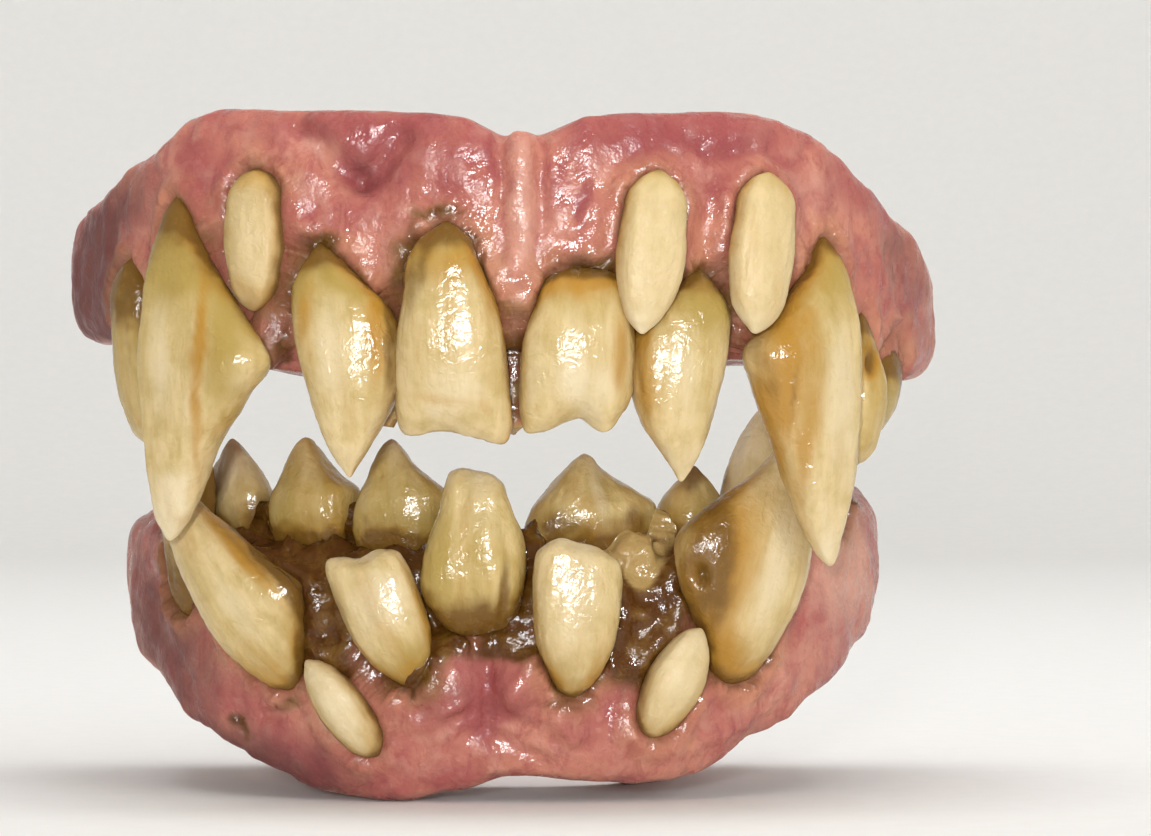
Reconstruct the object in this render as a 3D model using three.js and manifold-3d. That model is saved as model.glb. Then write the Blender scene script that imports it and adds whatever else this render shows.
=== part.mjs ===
// Costume false teeth: an upper and a lower horseshoe plate of pink gum, each a trough that slips over
// the wearer's own teeth, with long crooked fangs set in sockets of the gum.
// Millimetres, +Z up, the front faces -Y. Left and right are as seen from the front.
import * as THREE from "three";
import { mergeVertices } from "three/addons/utils/BufferGeometryUtils.js";
import Module from "manifold-3d";

const wasm = await Module();
wasm.setup();

// Middle of the footprint in the arch's own frame, whose zero is the upper gum's front face.
const FOOTPRINT_CENTRE = { x: -0.45, y: 16.375 };

// Clearance between a tooth and its socket.
const SOCKET_GAP = 0.4;

// Steps along each gum arch, and sides of each tooth's section.
const ARCH_STEPS = 46;
const TOOTH_SIDES = 12;

// Power of the rounded-box section of a tooth: 2 is an ellipse, more is squarer.
const TOOTH_SQUARENESS = 2.4;

// Last share of a tooth's length over which an uneven biting edge fades in.
const EDGE_FADE_START = 0.55;

const GUM = { color: 0xb5706c, roughness: 0.35, metalness: 0 };
const ENAMEL = { color: 0xd8bf85, roughness: 0.3, metalness: 0 };

// Turns rows of bare numbers into objects with named columns.
function table(columns, rows) {
  return rows.map((row) => Object.fromEntries(columns.map((column, i) => [column, row[i]])));
}

// Heights along an arch. at: 0 is the midline, -1 and 1 the start of the straight legs.
// rim: edge of the labial wall; bite: the face that carries the teeth; seat: floor of the trough;
// tongue: edge of the tongue-side wall; lean: how far that edge leans in towards the tongue.
const ARCH_COLUMNS = ["at", "rim", "bite", "seat", "tongue", "lean"];

const UPPER = {
  gum: "upper_gum",
  opens: 1,
  halfWidth: { left: 35.3, right: 34.4 },
  front: 0,
  depth: 26,
  legs: 10.5,
  wall: 3.4,
  channel: 8,
  tongueWall: 2.2,
  sections: table(ARCH_COLUMNS, [
    [-1.4, 41.5, 34.9, 37, 41.0, 0.6],
    [-1.0, 43.5, 34.9, 37, 41.5, 0.6],
    [-0.8, 45.9, 34.7, 37, 42.0, 0.6],
    [-0.6, 49.3, 33.8, 37, 42.0, 0.6],
    [-0.45, 52.6, 33.0, 37, 42.0, 0.6],
    [-0.28, 52.2, 31.9, 37, 42.0, 0.8],
    [-0.08, 51.9, 33.0, 37, 42.0, 1.0],
    [0.0, 50.1, 33.2, 37, 42.0, 1.0],
    [0.05, 50.2, 33.2, 37, 42.0, 1.0],
    [0.14, 51.8, 33.0, 37, 42.0, 1.0],
    [0.4, 52.2, 33.0, 37, 42.0, 0.8],
    [0.5, 50.9, 33.0, 37, 42.0, 0.6],
    [0.6, 47.6, 32.6, 37, 41.5, 0.6],
    [0.75, 44.2, 32.0, 36.4, 41.0, 0.6],
    [1.0, 40.4, 31.8, 35.6, 40.0, 0.6],
    [1.4, 39.2, 32.2, 35.4, 39.5, 0.6],
  ]),
};

const LOWER = {
  gum: "lower_gum",
  opens: -1,
  halfWidth: { left: 30.9, right: 29.9 },
  front: 3.5,
  depth: 23,
  legs: 10,
  wall: 3.4,
  channel: 8,
  tongueWall: 2.2,
  sections: table(ARCH_COLUMNS, [
    [-1.4, 14.0, 22.0, 17.4, 0, 3.0],
    [-1.0, 13.2, 21.9, 17.0, 0, 3.0],
    [-0.78, 9.3, 21.7, 15.6, 0, 2.6],
    [-0.58, 5.2, 20.2, 13, 0, 2.0],
    [-0.43, 2.6, 19.4, 13, 0, 1.6],
    [-0.3, 0.4, 19.2, 13, 1.6, 1.2],
    [-0.17, 0.0, 19.2, 13, 4.0, 1.0],
    [-0.08, 0.9, 18.6, 13, 5.4, 1.0],
    [0.02, 2.1, 18.4, 13, 5.6, 1.0],
    [0.12, 1.7, 18.9, 13, 4.0, 1.0],
    [0.24, 1.3, 19.0, 13, 1.2, 1.2],
    [0.34, 2.0, 19.4, 13, 0, 2.0],
    [0.48, 4.8, 20.4, 13, 0, 3.4],
    [0.64, 7.6, 22.4, 14.4, 0, 4.6],
    [0.8, 10.8, 23.5, 16.6, 0, 5.4],
    [1.0, 14.3, 23.7, 17.6, 0, 6.0],
    [1.4, 15.0, 23.8, 18.0, 0, 6.0],
  ]),
};

// Labial face of a gum, from the rim to the biting face.
// rise: share of the wall's height above the bite; inset: how far the face lies behind its fullest line.
const LABIAL_FACE = table(
  ["rise", "inset"],
  [
    [1.0, 1.9],
    [0.97, 0.9],
    [0.89, 0.35],
    [0.74, 0.1],
    [0.58, 0.0],
    [0.42, 0.0],
    [0.26, 0.2],
    [0.12, 0.8],
    [0.03, 2.0],
  ],
);

// Biting face of a gum, rounded over to its tongue side.
// back: share of the gum's depth behind the labial line; rise: height above the bite.
const BITE_FACE = table(
  ["back", "rise"],
  [
    [0.42, 0],
    [0.75, 0.25],
    [0.94, 1.4],
    [1.0, 3.2],
  ],
);

// Shares of a wall's height: where the tongue wall reaches its full lean, how far its inner face stays
// upright above the seat, and where the labial wall starts to thin towards its rim.
const TONGUE_LEAN_AT = 0.75;
const TONGUE_UPRIGHT = 0.15;
const RIM_TAPER_AT = 0.5;

// How much thinner the labial wall is at its rim.
const RIM_TAPER = 0.3;

// Swellings and dents of the labial faces. x and z: middle; wide and tall: reach; out: height.
const SWELLING_COLUMNS = ["x", "z", "wide", "tall", "out"];
const UPPER_SWELLINGS = table(SWELLING_COLUMNS, [
  [-24.5, 45.5, 3.5, 5.0, 0.7],
  [-13.5, 45.0, 3.2, 4.0, 0.6],
  [-10.0, 47.5, 2.2, 3.2, -0.8],
  [-4.0, 46.0, 3.0, 4.0, 0.7],
  [1.0, 46.0, 1.2, 6.0, 0.5],
  [6.5, 43.5, 3.2, 3.5, 0.6],
  [15.5, 42.5, 2.4, 3.5, 0.5],
  [25.0, 43.0, 3.2, 4.5, 0.7],
]);
const LOWER_SWELLINGS = table(SWELLING_COLUMNS, [
  [-22.0, 9.0, 3.0, 4.0, 0.5],
  [-12.0, 5.5, 3.5, 3.0, 0.6],
  [-5.5, 7.5, 3.2, 2.6, 0.6],
  [-0.8, 6.0, 1.0, 3.5, -0.6],
  [4.5, 6.0, 3.0, 2.6, 0.5],
  [12.0, 4.5, 3.2, 3.0, 0.5],
  [23.0, 12.0, 3.0, 4.0, 0.4],
]);

// Shapes of the teeth, a row for each section from the root to the tip.
// share: of the tooth's length; left and right: of its width; front and back: of its thickness.
const SHAPE_COLUMNS = ["share", "left", "right", "front", "back"];
const SHAPES = {
  canine: table(SHAPE_COLUMNS, [
    [0.03, 0.05, 0.07, 0.1, 0.1],
    [0.12, 0.12, 0.17, 0.24, 0.18],
    [0.25, 0.14, 0.36, 0.38, 0.24],
    [0.4, 0.105, 0.62, 0.47, 0.28],
    [0.5, 0.1, 0.76, 0.5, 0.34],
    [0.6, 0.1, 0.57, 0.47, 0.4],
    [0.72, 0.09, 0.36, 0.4, 0.36],
    [0.86, 0.08, 0.215, 0.27, 0.25],
    [0.95, 0.06, 0.12, 0.14, 0.14],
  ]),
  shortCanine: table(SHAPE_COLUMNS, [
    [0.03, 0.06, 0.06, 0.1, 0.1],
    [0.1, 0.13, 0.13, 0.24, 0.18],
    [0.18, 0.16, 0.28, 0.36, 0.24],
    [0.28, 0.17, 0.5, 0.46, 0.28],
    [0.37, 0.165, 0.66, 0.5, 0.32],
    [0.47, 0.16, 0.58, 0.48, 0.38],
    [0.62, 0.15, 0.44, 0.41, 0.38],
    [0.78, 0.12, 0.3, 0.31, 0.3],
    [0.92, 0.07, 0.16, 0.17, 0.17],
  ]),
  lateral: table(SHAPE_COLUMNS, [
    [0.03, 0.06, 0.07, 0.1, 0.1],
    [0.1, 0.15, 0.18, 0.24, 0.18],
    [0.2, 0.24, 0.34, 0.36, 0.24],
    [0.34, 0.3, 0.6, 0.45, 0.28],
    [0.47, 0.3, 0.65, 0.48, 0.34],
    [0.62, 0.25, 0.6, 0.46, 0.4],
    [0.75, 0.2, 0.46, 0.38, 0.35],
    [0.86, 0.14, 0.26, 0.26, 0.25],
    [0.95, 0.065, 0.11, 0.12, 0.12],
  ]),
  central: table(SHAPE_COLUMNS, [
    [0.03, 0.1, 0.09, 0.12, 0.12],
    [0.08, 0.2, 0.17, 0.24, 0.18],
    [0.18, 0.29, 0.23, 0.36, 0.24],
    [0.37, 0.385, 0.385, 0.45, 0.28],
    [0.57, 0.445, 0.465, 0.48, 0.34],
    [0.78, 0.48, 0.505, 0.42, 0.38],
    [0.92, 0.485, 0.52, 0.3, 0.28],
    [0.98, 0.44, 0.47, 0.16, 0.15],
  ]),
  broadCentral: table(SHAPE_COLUMNS, [
    [0.03, 0.2, 0.24, 0.12, 0.12],
    [0.1, 0.31, 0.37, 0.26, 0.2],
    [0.24, 0.41, 0.42, 0.4, 0.26],
    [0.42, 0.5, 0.46, 0.47, 0.32],
    [0.7, 0.53, 0.46, 0.45, 0.38],
    [0.9, 0.53, 0.46, 0.32, 0.3],
    [0.98, 0.48, 0.42, 0.16, 0.15],
  ]),
  peg: table(SHAPE_COLUMNS, [
    [0.03, 0.13, 0.13, 0.18, 0.12],
    [0.12, 0.29, 0.29, 0.42, 0.26],
    [0.28, 0.43, 0.43, 0.62, 0.36],
    [0.48, 0.5, 0.5, 0.7, 0.4],
    [0.68, 0.45, 0.45, 0.62, 0.36],
    [0.84, 0.31, 0.31, 0.42, 0.26],
    [0.95, 0.15, 0.15, 0.2, 0.14],
  ]),
  molar: table(SHAPE_COLUMNS, [
    [0.03, 0.12, 0.12, 0.12, 0.12],
    [0.12, 0.3, 0.3, 0.28, 0.2],
    [0.3, 0.42, 0.42, 0.4, 0.28],
    [0.55, 0.48, 0.48, 0.48, 0.46],
    [0.75, 0.5, 0.5, 0.48, 0.56],
    [0.9, 0.42, 0.42, 0.38, 0.5],
    [0.97, 0.24, 0.24, 0.22, 0.28],
  ]),
  cone: table(SHAPE_COLUMNS, [
    [0.04, 0.3, 0.3, 0.3, 0.3],
    [0.18, 0.46, 0.46, 0.46, 0.46],
    [0.38, 0.5, 0.5, 0.5, 0.5],
    [0.58, 0.44, 0.42, 0.44, 0.44],
    [0.78, 0.29, 0.27, 0.31, 0.31],
    [0.92, 0.13, 0.12, 0.15, 0.15],
  ]),
  cusp: table(SHAPE_COLUMNS, [
    [0.05, 0.42, 0.42, 0.36, 0.36],
    [0.2, 0.47, 0.5, 0.46, 0.46],
    [0.38, 0.46, 0.54, 0.5, 0.5],
    [0.54, 0.4, 0.55, 0.46, 0.46],
    [0.67, 0.3, 0.38, 0.38, 0.38],
    [0.8, 0.21, 0.21, 0.28, 0.28],
    [0.91, 0.13, 0.11, 0.17, 0.17],
    [0.97, 0.06, 0.055, 0.09, 0.09],
  ]),
  block: table(SHAPE_COLUMNS, [
    [0.03, 0.13, 0.11, 0.14, 0.12],
    [0.12, 0.26, 0.25, 0.3, 0.22],
    [0.28, 0.4, 0.39, 0.44, 0.3],
    [0.46, 0.48, 0.46, 0.5, 0.34],
    [0.65, 0.5, 0.49, 0.48, 0.36],
    [0.84, 0.485, 0.49, 0.38, 0.34],
    [0.95, 0.45, 0.45, 0.26, 0.26],
    [0.985, 0.39, 0.39, 0.14, 0.14],
  ]),
  shovel: table(SHAPE_COLUMNS, [
    [0.04, 0.22, 0.22, 0.2, 0.16],
    [0.14, 0.38, 0.38, 0.36, 0.26],
    [0.28, 0.51, 0.46, 0.48, 0.34],
    [0.44, 0.52, 0.48, 0.5, 0.38],
    [0.6, 0.475, 0.45, 0.46, 0.38],
    [0.75, 0.38, 0.37, 0.38, 0.34],
    [0.9, 0.31, 0.3, 0.28, 0.28],
    [0.975, 0.25, 0.25, 0.15, 0.15],
  ]),
  leaningFang: table(SHAPE_COLUMNS, [
    [0.03, 0.14, 0.16, 0.14, 0.12],
    [0.11, 0.26, 0.33, 0.3, 0.22],
    [0.2, 0.33, 0.5, 0.4, 0.28],
    [0.31, 0.375, 0.67, 0.48, 0.32],
    [0.45, 0.375, 0.52, 0.5, 0.34],
    [0.6, 0.335, 0.36, 0.44, 0.36],
    [0.74, 0.285, 0.235, 0.34, 0.32],
    [0.87, 0.2, 0.13, 0.22, 0.22],
    [0.96, 0.09, 0.07, 0.12, 0.12],
  ]),
  bellyFang: table(SHAPE_COLUMNS, [
    [0.03, 0.13, 0.13, 0.14, 0.12],
    [0.12, 0.22, 0.24, 0.3, 0.22],
    [0.25, 0.27, 0.43, 0.42, 0.28],
    [0.39, 0.31, 0.6, 0.48, 0.32],
    [0.52, 0.325, 0.65, 0.5, 0.34],
    [0.63, 0.315, 0.53, 0.46, 0.36],
    [0.74, 0.28, 0.35, 0.36, 0.32],
    [0.86, 0.18, 0.17, 0.24, 0.24],
    [0.95, 0.09, 0.08, 0.13, 0.13],
  ]),
};

// Places of the teeth. x: where the root sits on its arch; root and tip: heights; lean: sideways shift
// of the tip; flare: outward shift of the tip; wide and thick: full size; proud: root axis outside the
// gum face, minus is set back on the biting face; mirror: -1 swaps the shape's left and right.
const TOOTH_COLUMNS = [
  "name", "shape", "x", "root", "tip", "lean", "flare", "wide", "thick", "proud", "mirror",
];
const UPPER_TEETH = table(TOOTH_COLUMNS, [
  ["upper_molar_left", "molar", -28.9, 41.5, 27.0, 0.0, -3.6, 5.6, 5.8, -0.1, 1],
  ["upper_canine_left", "canine", -24.6, 45.9, 19.8, 0.9, 1.6, 12.4, 6.6, 0.7, 1],
  ["upper_gum_peg_left", "peg", -18.6, 47.8, 37.0, 0.2, 0.4, 5.0, 3.6, 0.3, 1],
  ["upper_lateral_left", "lateral", -13.7, 42.2, 24.6, 2.8, 0.6, 8.2, 6.2, 0.5, 1],
  ["upper_central_left", "central", -4.2, 43.7, 27.7, 0.6, 0.6, 8.0, 6.2, 0.6, 1],
  ["upper_central_right", "broadCentral", 5.9, 40.3, 28.2, -0.4, 0.5, 7.9, 6.0, 0.4, 1],
  ["upper_gum_peg_mid", "peg", 11.4, 47.5, 35.2, -1.9, 1.6, 5.0, 3.4, 1.2, 1],
  ["upper_lateral_right", "lateral", 14.8, 40.4, 24.3, -1.9, 0.4, 7.6, 5.6, 0.2, -1],
  ["upper_gum_peg_right", "peg", 19.4, 47.5, 35.3, -2.4, 1.8, 5.2, 3.4, 1.35, 1],
  ["upper_canine_right", "shortCanine", 24.0, 42.9, 17.9, -0.9, 1.6, 11.8, 6.6, 0.5, -1],
  ["upper_premolar_right", "molar", 27.3, 37.2, 25.3, -2.0, 0.6, 3.2, 3.4, 0.3, 1],
  ["upper_molar_right", "molar", 30.9, 38.4, 27.0, 0.2, -3.2, 4.2, 5.2, -2.2, 1],
]);
const LOWER_TEETH = table(TOOTH_COLUMNS, [
  ["lower_molar_left", "molar", -24.8, 13.6, 27.3, -1.6, -0.6, 4.6, 3.6, -0.5, 1],
  ["lower_premolar_left", "cone", -24.0, 19.2, 27.4, -1.2, 0.0, 5.4, 3.4, -4.9, 1],
  ["lower_canine_left", "leaningFang", -16.0, 8.4, 24.9, -10.6, 1.0, 7.9, 5.4, 0.5, 1],
  ["lower_back_lateral_left", "cusp", -17.4, 18.4, 27.5, -0.9, 0.0, 6.7, 5.2, -5.8, 1],
  ["lower_back_central_left", "cusp", -9.3, 18.2, 27.4, -0.7, 0.0, 6.9, 5.2, -5.4, 1],
  ["lower_front_left", "block", -6.3, 9.0, 18.8, -4.4, 1.0, 6.3, 4.8, 0.5, 1],
  ["lower_central", "shovel", -2.1, 12.6, 24.9, 0.0, 0.0, 8.0, 5.4, 0.2, 1],
  ["lower_front_right", "block", 5.2, 8.0, 19.7, 0.2, 1.0, 6.8, 5.0, 0.6, 1],
  ["lower_back_right", "cusp", 7.0, 17.9, 26.3, 0.0, 0.0, 9.2, 5.6, -5.4, 1],
  ["lower_stub_right", "cone", 16.8, 18.6, 25.4, 0.2, 0.0, 4.4, 4.4, -5.2, 1],
  ["lower_premolar_right", "cone", 20.9, 19.2, 30.2, 2.6, 0.0, 4.4, 4.2, -4.6, 1],
  ["lower_canine_right", "bellyFang", 16.9, 8.8, 27.2, 4.8, 0.6, 11.6, 5.6, 0.5, -1],
  ["lower_gum_peg_right", "peg", 10.6, 5.0, 13.2, 4.0, 1.0, 4.0, 3.2, 0.5, 1],
  ["lower_gum_peg_left", "peg", -9.4, 3.6, 10.8, -5.4, 0.8, 3.6, 3.2, 0.5, 1],
  ["lower_molar_right", "molar", 26.6, 19.0, 27.3, 0.0, 0.3, 4.8, 4.8, -2.8, 1],
]);

// Uneven biting edges: extra length at even steps from the tooth's left to its right.
const BITING_EDGES = {
  upper_central_left: [0.0, -0.4, -0.4, 0.3, 0.9],
  upper_central_right: [0.6, -0.2, -0.8, 0.6, -1.4],
  lower_front_left: [0.7, 0.3, -0.2, 0.0, -0.5],
  lower_front_right: [-0.1, 0.6, 0.0, -0.2, -0.8],
  lower_central: [0.5, 0.6, 0.2, 0.1, -0.4],
};

function smoothMix(rows, column, at) {
  const last = rows.length - 1;
  const i = THREE.MathUtils.clamp(rows.findIndex((row) => row.at > at) - 1, 0, last - 1);
  const [from, to] = [rows[i], rows[i + 1]];
  return THREE.MathUtils.lerp(
    from[column],
    to[column],
    THREE.MathUtils.smoothstep(at, from.at, to.at),
  );
}

function archHalfWidth(plate, at) {
  return at < 0 ? plate.halfWidth.left : plate.halfWidth.right;
}

// Point on the labial line of an arch, with its direction of travel and its outward side.
function archPoint(plate, at) {
  const half = archHalfWidth(plate, at);
  const angle = (THREE.MathUtils.clamp(at, -1, 1) * Math.PI) / 2;
  const leg = Math.max(0, Math.abs(at) - 1) * plate.depth * (Math.PI / 2);
  const point = new THREE.Vector3(
    half * Math.sin(angle),
    plate.front + plate.depth * (1 - Math.cos(angle)) + leg,
    0,
  );
  const along = new THREE.Vector3(
    half * Math.cos(angle),
    plate.depth * Math.sin(angle),
    0,
  ).normalize();
  const outward = new THREE.Vector3(along.y, -along.x, 0);
  return { point, along, outward };
}

function archAt(plate, x) {
  return Math.asin(x / archHalfWidth(plate, x)) / (Math.PI / 2);
}

function swell(swellings, x, z) {
  let out = 0;
  for (const s of swellings) {
    out += s.out * Math.exp(-(((x - s.x) / s.wide) ** 2) - ((z - s.z) / s.tall) ** 2);
  }
  return out;
}

// Outline of a gum's section at one place on the arch: [distance behind the labial line, height].
function gumSection(plate, swellings, at) {
  const get = (column) => smoothMix(plate.sections, column, at);
  const [rim, bite, seat, tongue, lean] = ["rim", "bite", "seat", "tongue", "lean"].map(get);
  const x = archPoint(plate, at).point.x;
  const inner = plate.wall + plate.channel;
  const full = inner + plate.tongueWall;
  const labial = LABIAL_FACE.map(({ rise, inset }) => {
    const z = THREE.MathUtils.lerp(bite, rim, rise);
    return [inset - swell(swellings, x, z), z];
  });
  const outline = [
    ...labial,
    ...BITE_FACE.map(({ back, rise }) => [back * full, bite + plate.opens * rise]),
    [full + lean, THREE.MathUtils.lerp(bite, tongue, TONGUE_LEAN_AT)],
    [full + lean, tongue],
    [full + lean - plate.tongueWall, tongue],
    [inner, THREE.MathUtils.lerp(seat, tongue, TONGUE_UPRIGHT)],
    [inner, seat],
    [plate.wall, seat],
    [plate.wall, THREE.MathUtils.lerp(seat, rim, RIM_TAPER_AT)],
    [plate.wall - RIM_TAPER, rim],
  ];
  return plate.opens > 0 ? outline : outline.reverse();
}

function meshGeometry(points, triangles) {
  return new THREE.BufferGeometry()
    .setAttribute("position", new THREE.Float32BufferAttribute(points, 3))
    .setIndex(triangles);
}

// Two triangles for each cell between rings of equal size, each ring closed on itself.
function stitchRings(triangles, rings, sides, first) {
  for (let ring = 0; ring < rings - 1; ring++) {
    for (let side = 0; side < sides; side++) {
      const a = first + ring * sides + side;
      const b = first + ring * sides + ((side + 1) % sides);
      triangles.push(a, b, b + sides, a, b + sides, a + sides);
    }
  }
}

function gumGeometry(plate, swellings) {
  const reach = 1 + plate.legs / (plate.depth * (Math.PI / 2));
  const points = [];
  const triangles = [];
  let outline;
  for (let step = 0; step <= ARCH_STEPS; step++) {
    const at = THREE.MathUtils.lerp(-reach, reach, step / ARCH_STEPS);
    const { point, outward } = archPoint(plate, at);
    outline = gumSection(plate, swellings, at);
    for (const [behind, z] of outline) {
      points.push(point.x - outward.x * behind, point.y - outward.y * behind, z);
    }
  }
  const sides = outline.length;
  stitchRings(triangles, ARCH_STEPS + 1, sides, 0);
  const contour = outline.map(([behind, z]) => new THREE.Vector2(behind, z));
  const lastRing = ARCH_STEPS * sides;
  for (const [a, b, c] of THREE.ShapeUtils.triangulateShape(contour, [])) {
    triangles.push(lastRing + a, lastRing + b, lastRing + c, a, c, b);
  }
  return meshGeometry(points, triangles);
}

function edgeHeight(edge, across) {
  const place = THREE.MathUtils.clamp(across, 0, 1) * (edge.length - 1);
  const i = Math.min(Math.floor(place), edge.length - 2);
  return THREE.MathUtils.lerp(edge[i], edge[i + 1], place - i);
}

// A tooth along its own +Z from root to tip, its front facing +Y, made fuller all round by grow.
// A lower tooth points up, so its own X runs from right to left and its shape is swapped over.
function toothGeometry(tooth, opens, length, grow) {
  const swapped = tooth.mirror * opens < 0;
  const edge = BITING_EDGES[tooth.name] ?? [0, 0];
  const rows = SHAPES[tooth.shape];
  const points = [0, 0, -grow];
  const rounded = (value) => Math.sign(value) * Math.abs(value) ** (2 / TOOTH_SQUARENESS);
  for (const row of rows) {
    const [low, high] = swapped ? [row.right, row.left] : [row.left, row.right];
    const fade = THREE.MathUtils.smoothstep(row.share, EDGE_FADE_START, 1);
    for (let side = 0; side < TOOTH_SIDES; side++) {
      const angle = (side / TOOTH_SIDES) * Math.PI * 2;
      const across = rounded(Math.cos(angle));
      const outward = rounded(Math.sin(angle));
      const x = across * ((across > 0 ? high : low) * tooth.wide + grow);
      const y = outward * ((outward > 0 ? row.front : row.back) * tooth.thick + grow);
      const fromLeft = 0.5 + (opens * across) / 2;
      const height = row.share * length + (2 * row.share - 1) * grow;
      points.push(x, y, height + fade * edgeHeight(edge, fromLeft));
    }
  }
  points.push(0, 0, length + grow + edgeHeight(edge, 0.5));
  const triangles = [];
  stitchRings(triangles, rows.length, TOOTH_SIDES, 1);
  const lastRing = 1 + (rows.length - 1) * TOOTH_SIDES;
  const tip = lastRing + TOOTH_SIDES;
  for (let side = 0; side < TOOTH_SIDES; side++) {
    const next = (side + 1) % TOOTH_SIDES;
    triangles.push(0, 1 + next, 1 + side, tip, lastRing + side, lastRing + next);
  }
  return meshGeometry(points, triangles);
}

function toothMesh(plate, tooth, grow) {
  const { point, along, outward } = archPoint(plate, archAt(plate, tooth.x));
  const root = point.clone().addScaledVector(outward, tooth.proud).setZ(tooth.root);
  const axis = new THREE.Vector3(0, 0, tooth.tip - tooth.root)
    .addScaledVector(along, tooth.lean)
    .addScaledVector(outward, tooth.flare);
  const length = axis.length();
  axis.normalize();
  const across = along.clone().multiplyScalar(plate.opens);
  across.addScaledVector(axis, -across.dot(axis)).normalize();
  const front = new THREE.Vector3().crossVectors(axis, across);
  const mesh = new THREE.Mesh(
    toothGeometry(tooth, plate.opens, length, grow),
    new THREE.MeshStandardMaterial(ENAMEL),
  );
  mesh.name = tooth.name;
  mesh.position.copy(root);
  mesh.quaternion.setFromRotationMatrix(new THREE.Matrix4().makeBasis(across, front, axis));
  mesh.updateMatrix();
  return mesh;
}

function solidOf(mesh) {
  const merged = mergeVertices(mesh.geometry.clone().applyMatrix4(mesh.matrix), 1e-4);
  return new wasm.Manifold(
    new wasm.Mesh({
      numProp: 3,
      vertProperties: new Float32Array(merged.attributes.position.array),
      triVerts: new Uint32Array(merged.index.array),
    }),
  );
}

function largestBody(solid) {
  return solid.decompose().reduce((a, b) => (a.volume() > b.volume() ? a : b));
}

// A gum plate with a socket cut for each of its teeth.
function gumMesh(plate, swellings, teeth) {
  const mesh = new THREE.Mesh(
    gumGeometry(plate, swellings),
    new THREE.MeshStandardMaterial(GUM),
  );
  let solid = solidOf(mesh);
  for (const tooth of teeth) {
    solid = solid.subtract(solidOf(toothMesh(plate, tooth, SOCKET_GAP)));
  }
  const cut = largestBody(solid).getMesh();
  mesh.geometry = meshGeometry(Array.from(cut.vertProperties), Array.from(cut.triVerts));
  mesh.name = plate.gum;
  return mesh;
}

function plateGroup(plate, swellings, teeth) {
  const group = new THREE.Group();
  group.add(gumMesh(plate, swellings, teeth));
  for (const tooth of teeth) {
    group.add(toothMesh(plate, tooth, 0));
  }
  return group;
}

const plates = new THREE.Group();
plates.position.set(-FOOTPRINT_CENTRE.x, -FOOTPRINT_CENTRE.y, 0);
plates.add(plateGroup(UPPER, UPPER_SWELLINGS, UPPER_TEETH));
plates.add(plateGroup(LOWER, LOWER_SWELLINGS, LOWER_TEETH));

const falseTeeth = new THREE.Group();
falseTeeth.add(plates);

export default falseTeeth;
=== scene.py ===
"""Looks of a set of costume false teeth: two gum plates with stained fangs, on a pale studio sweep."""

import math

import bmesh
import bpy
import numpy as np
from bpy.props import FloatProperty, FloatVectorProperty, PointerProperty
from mathutils import Matrix, Vector, noise
from mathutils.bvhtree import BVHTree


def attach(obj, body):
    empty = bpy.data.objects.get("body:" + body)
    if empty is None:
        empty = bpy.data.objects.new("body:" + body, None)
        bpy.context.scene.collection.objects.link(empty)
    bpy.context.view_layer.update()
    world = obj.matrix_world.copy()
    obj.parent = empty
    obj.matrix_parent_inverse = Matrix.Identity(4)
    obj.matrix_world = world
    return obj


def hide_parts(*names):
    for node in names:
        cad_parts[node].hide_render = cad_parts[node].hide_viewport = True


bl_info = {
    "name": "False teeth",
    "version": (1, 0, 0),
    "blender": (4, 5, 0),
    "location": "View3D > Sidebar > False teeth",
    "description": "Builds stained fangs, wet gums and a studio stage on the packed plates",
    "category": "Object",
}

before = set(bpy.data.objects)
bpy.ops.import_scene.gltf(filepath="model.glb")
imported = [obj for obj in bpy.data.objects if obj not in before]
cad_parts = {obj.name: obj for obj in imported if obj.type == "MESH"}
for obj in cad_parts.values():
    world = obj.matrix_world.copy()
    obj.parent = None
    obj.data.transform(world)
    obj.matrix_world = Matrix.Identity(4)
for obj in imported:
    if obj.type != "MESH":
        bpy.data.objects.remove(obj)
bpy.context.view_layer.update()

MM = 0.001
WELD = 1e-7
TINY = 1e-6
PLATES = {"upper": "upper_plate", "lower": "lower_plate"}

# View of the photograph along +Y: place of the lens in millimetres of the row frame, focal length and size in
# pixels, and size of a pixel on the fangs in millimetres.
PHOTO_LENS = np.array([5.82, -296.375, 29.05])
PHOTO_FOCAL = 3780.0
PHOTO_SIZE = (1151, 836)
PHOTO_MM = 0.078

# Camera: width of its sensor in millimetres, and where its view begins in metres.
SENSOR_WIDE = 36.0
CLIP_START = 0.01

# Middle of both arches in millimetres, and the slots round a plate and the levels up it in which its outer
# face is looked for, with the depths in millimetres over which that face ends.
ARCH_CENTRE = np.array([0.0, 8.0])
OUTER_SLOTS = 120
OUTER_LEVEL = 2.0
OUTER_FADE = (2.4, 3.4)

# Cosines between which a point counts as turned to the photograph's lens, and the power that gives a mark its
# edge.
FACING_FADE = (-0.15, 0.35)
MARK_EDGE = 1.4

# Round paper sweep: radius of its bend and its height in metres, steps along the bend and round it.
SWEEP_BEND = 0.3
SWEEP_HIGH = 0.8
SWEEP_STEPS = 16
SWEEP_ROUND = 96

# Light of the studio: place it is turned to, lit height of the wall, and colour and strength of the room.
LIT_MIDDLE = (0.0, -0.01, 0.026)
LIT_WALL = 0.1
ROOM_COLOUR = (1.0, 0.97, 0.93, 1.0)
ROOM_STRENGTH = 0.2

# Points round and along a refined tooth, and sides of the CAD tooth's rings.
TOOTH_SIDES = 12
TOOTH_ROUND = 84
TOOTH_ROWS_PER_MM = 5.5
TOOTH_ROWS_LEAST = 50

# Places where a tooth can be widened: column of the share, middle and half length as shares of the tooth.
TOOTH_WIDENING = (("blunt", 0.14, 0.14), ("tip", 0.87, 0.13), ("wider", 0.5, 0.3))

# Share by which the fronts of pegs are pressed in, and shares of the length over which roots are sunk.
PEG_PRESS = 0.25
PEG_SUNK = 1.3
FANG_SUNK = 0.42

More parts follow.
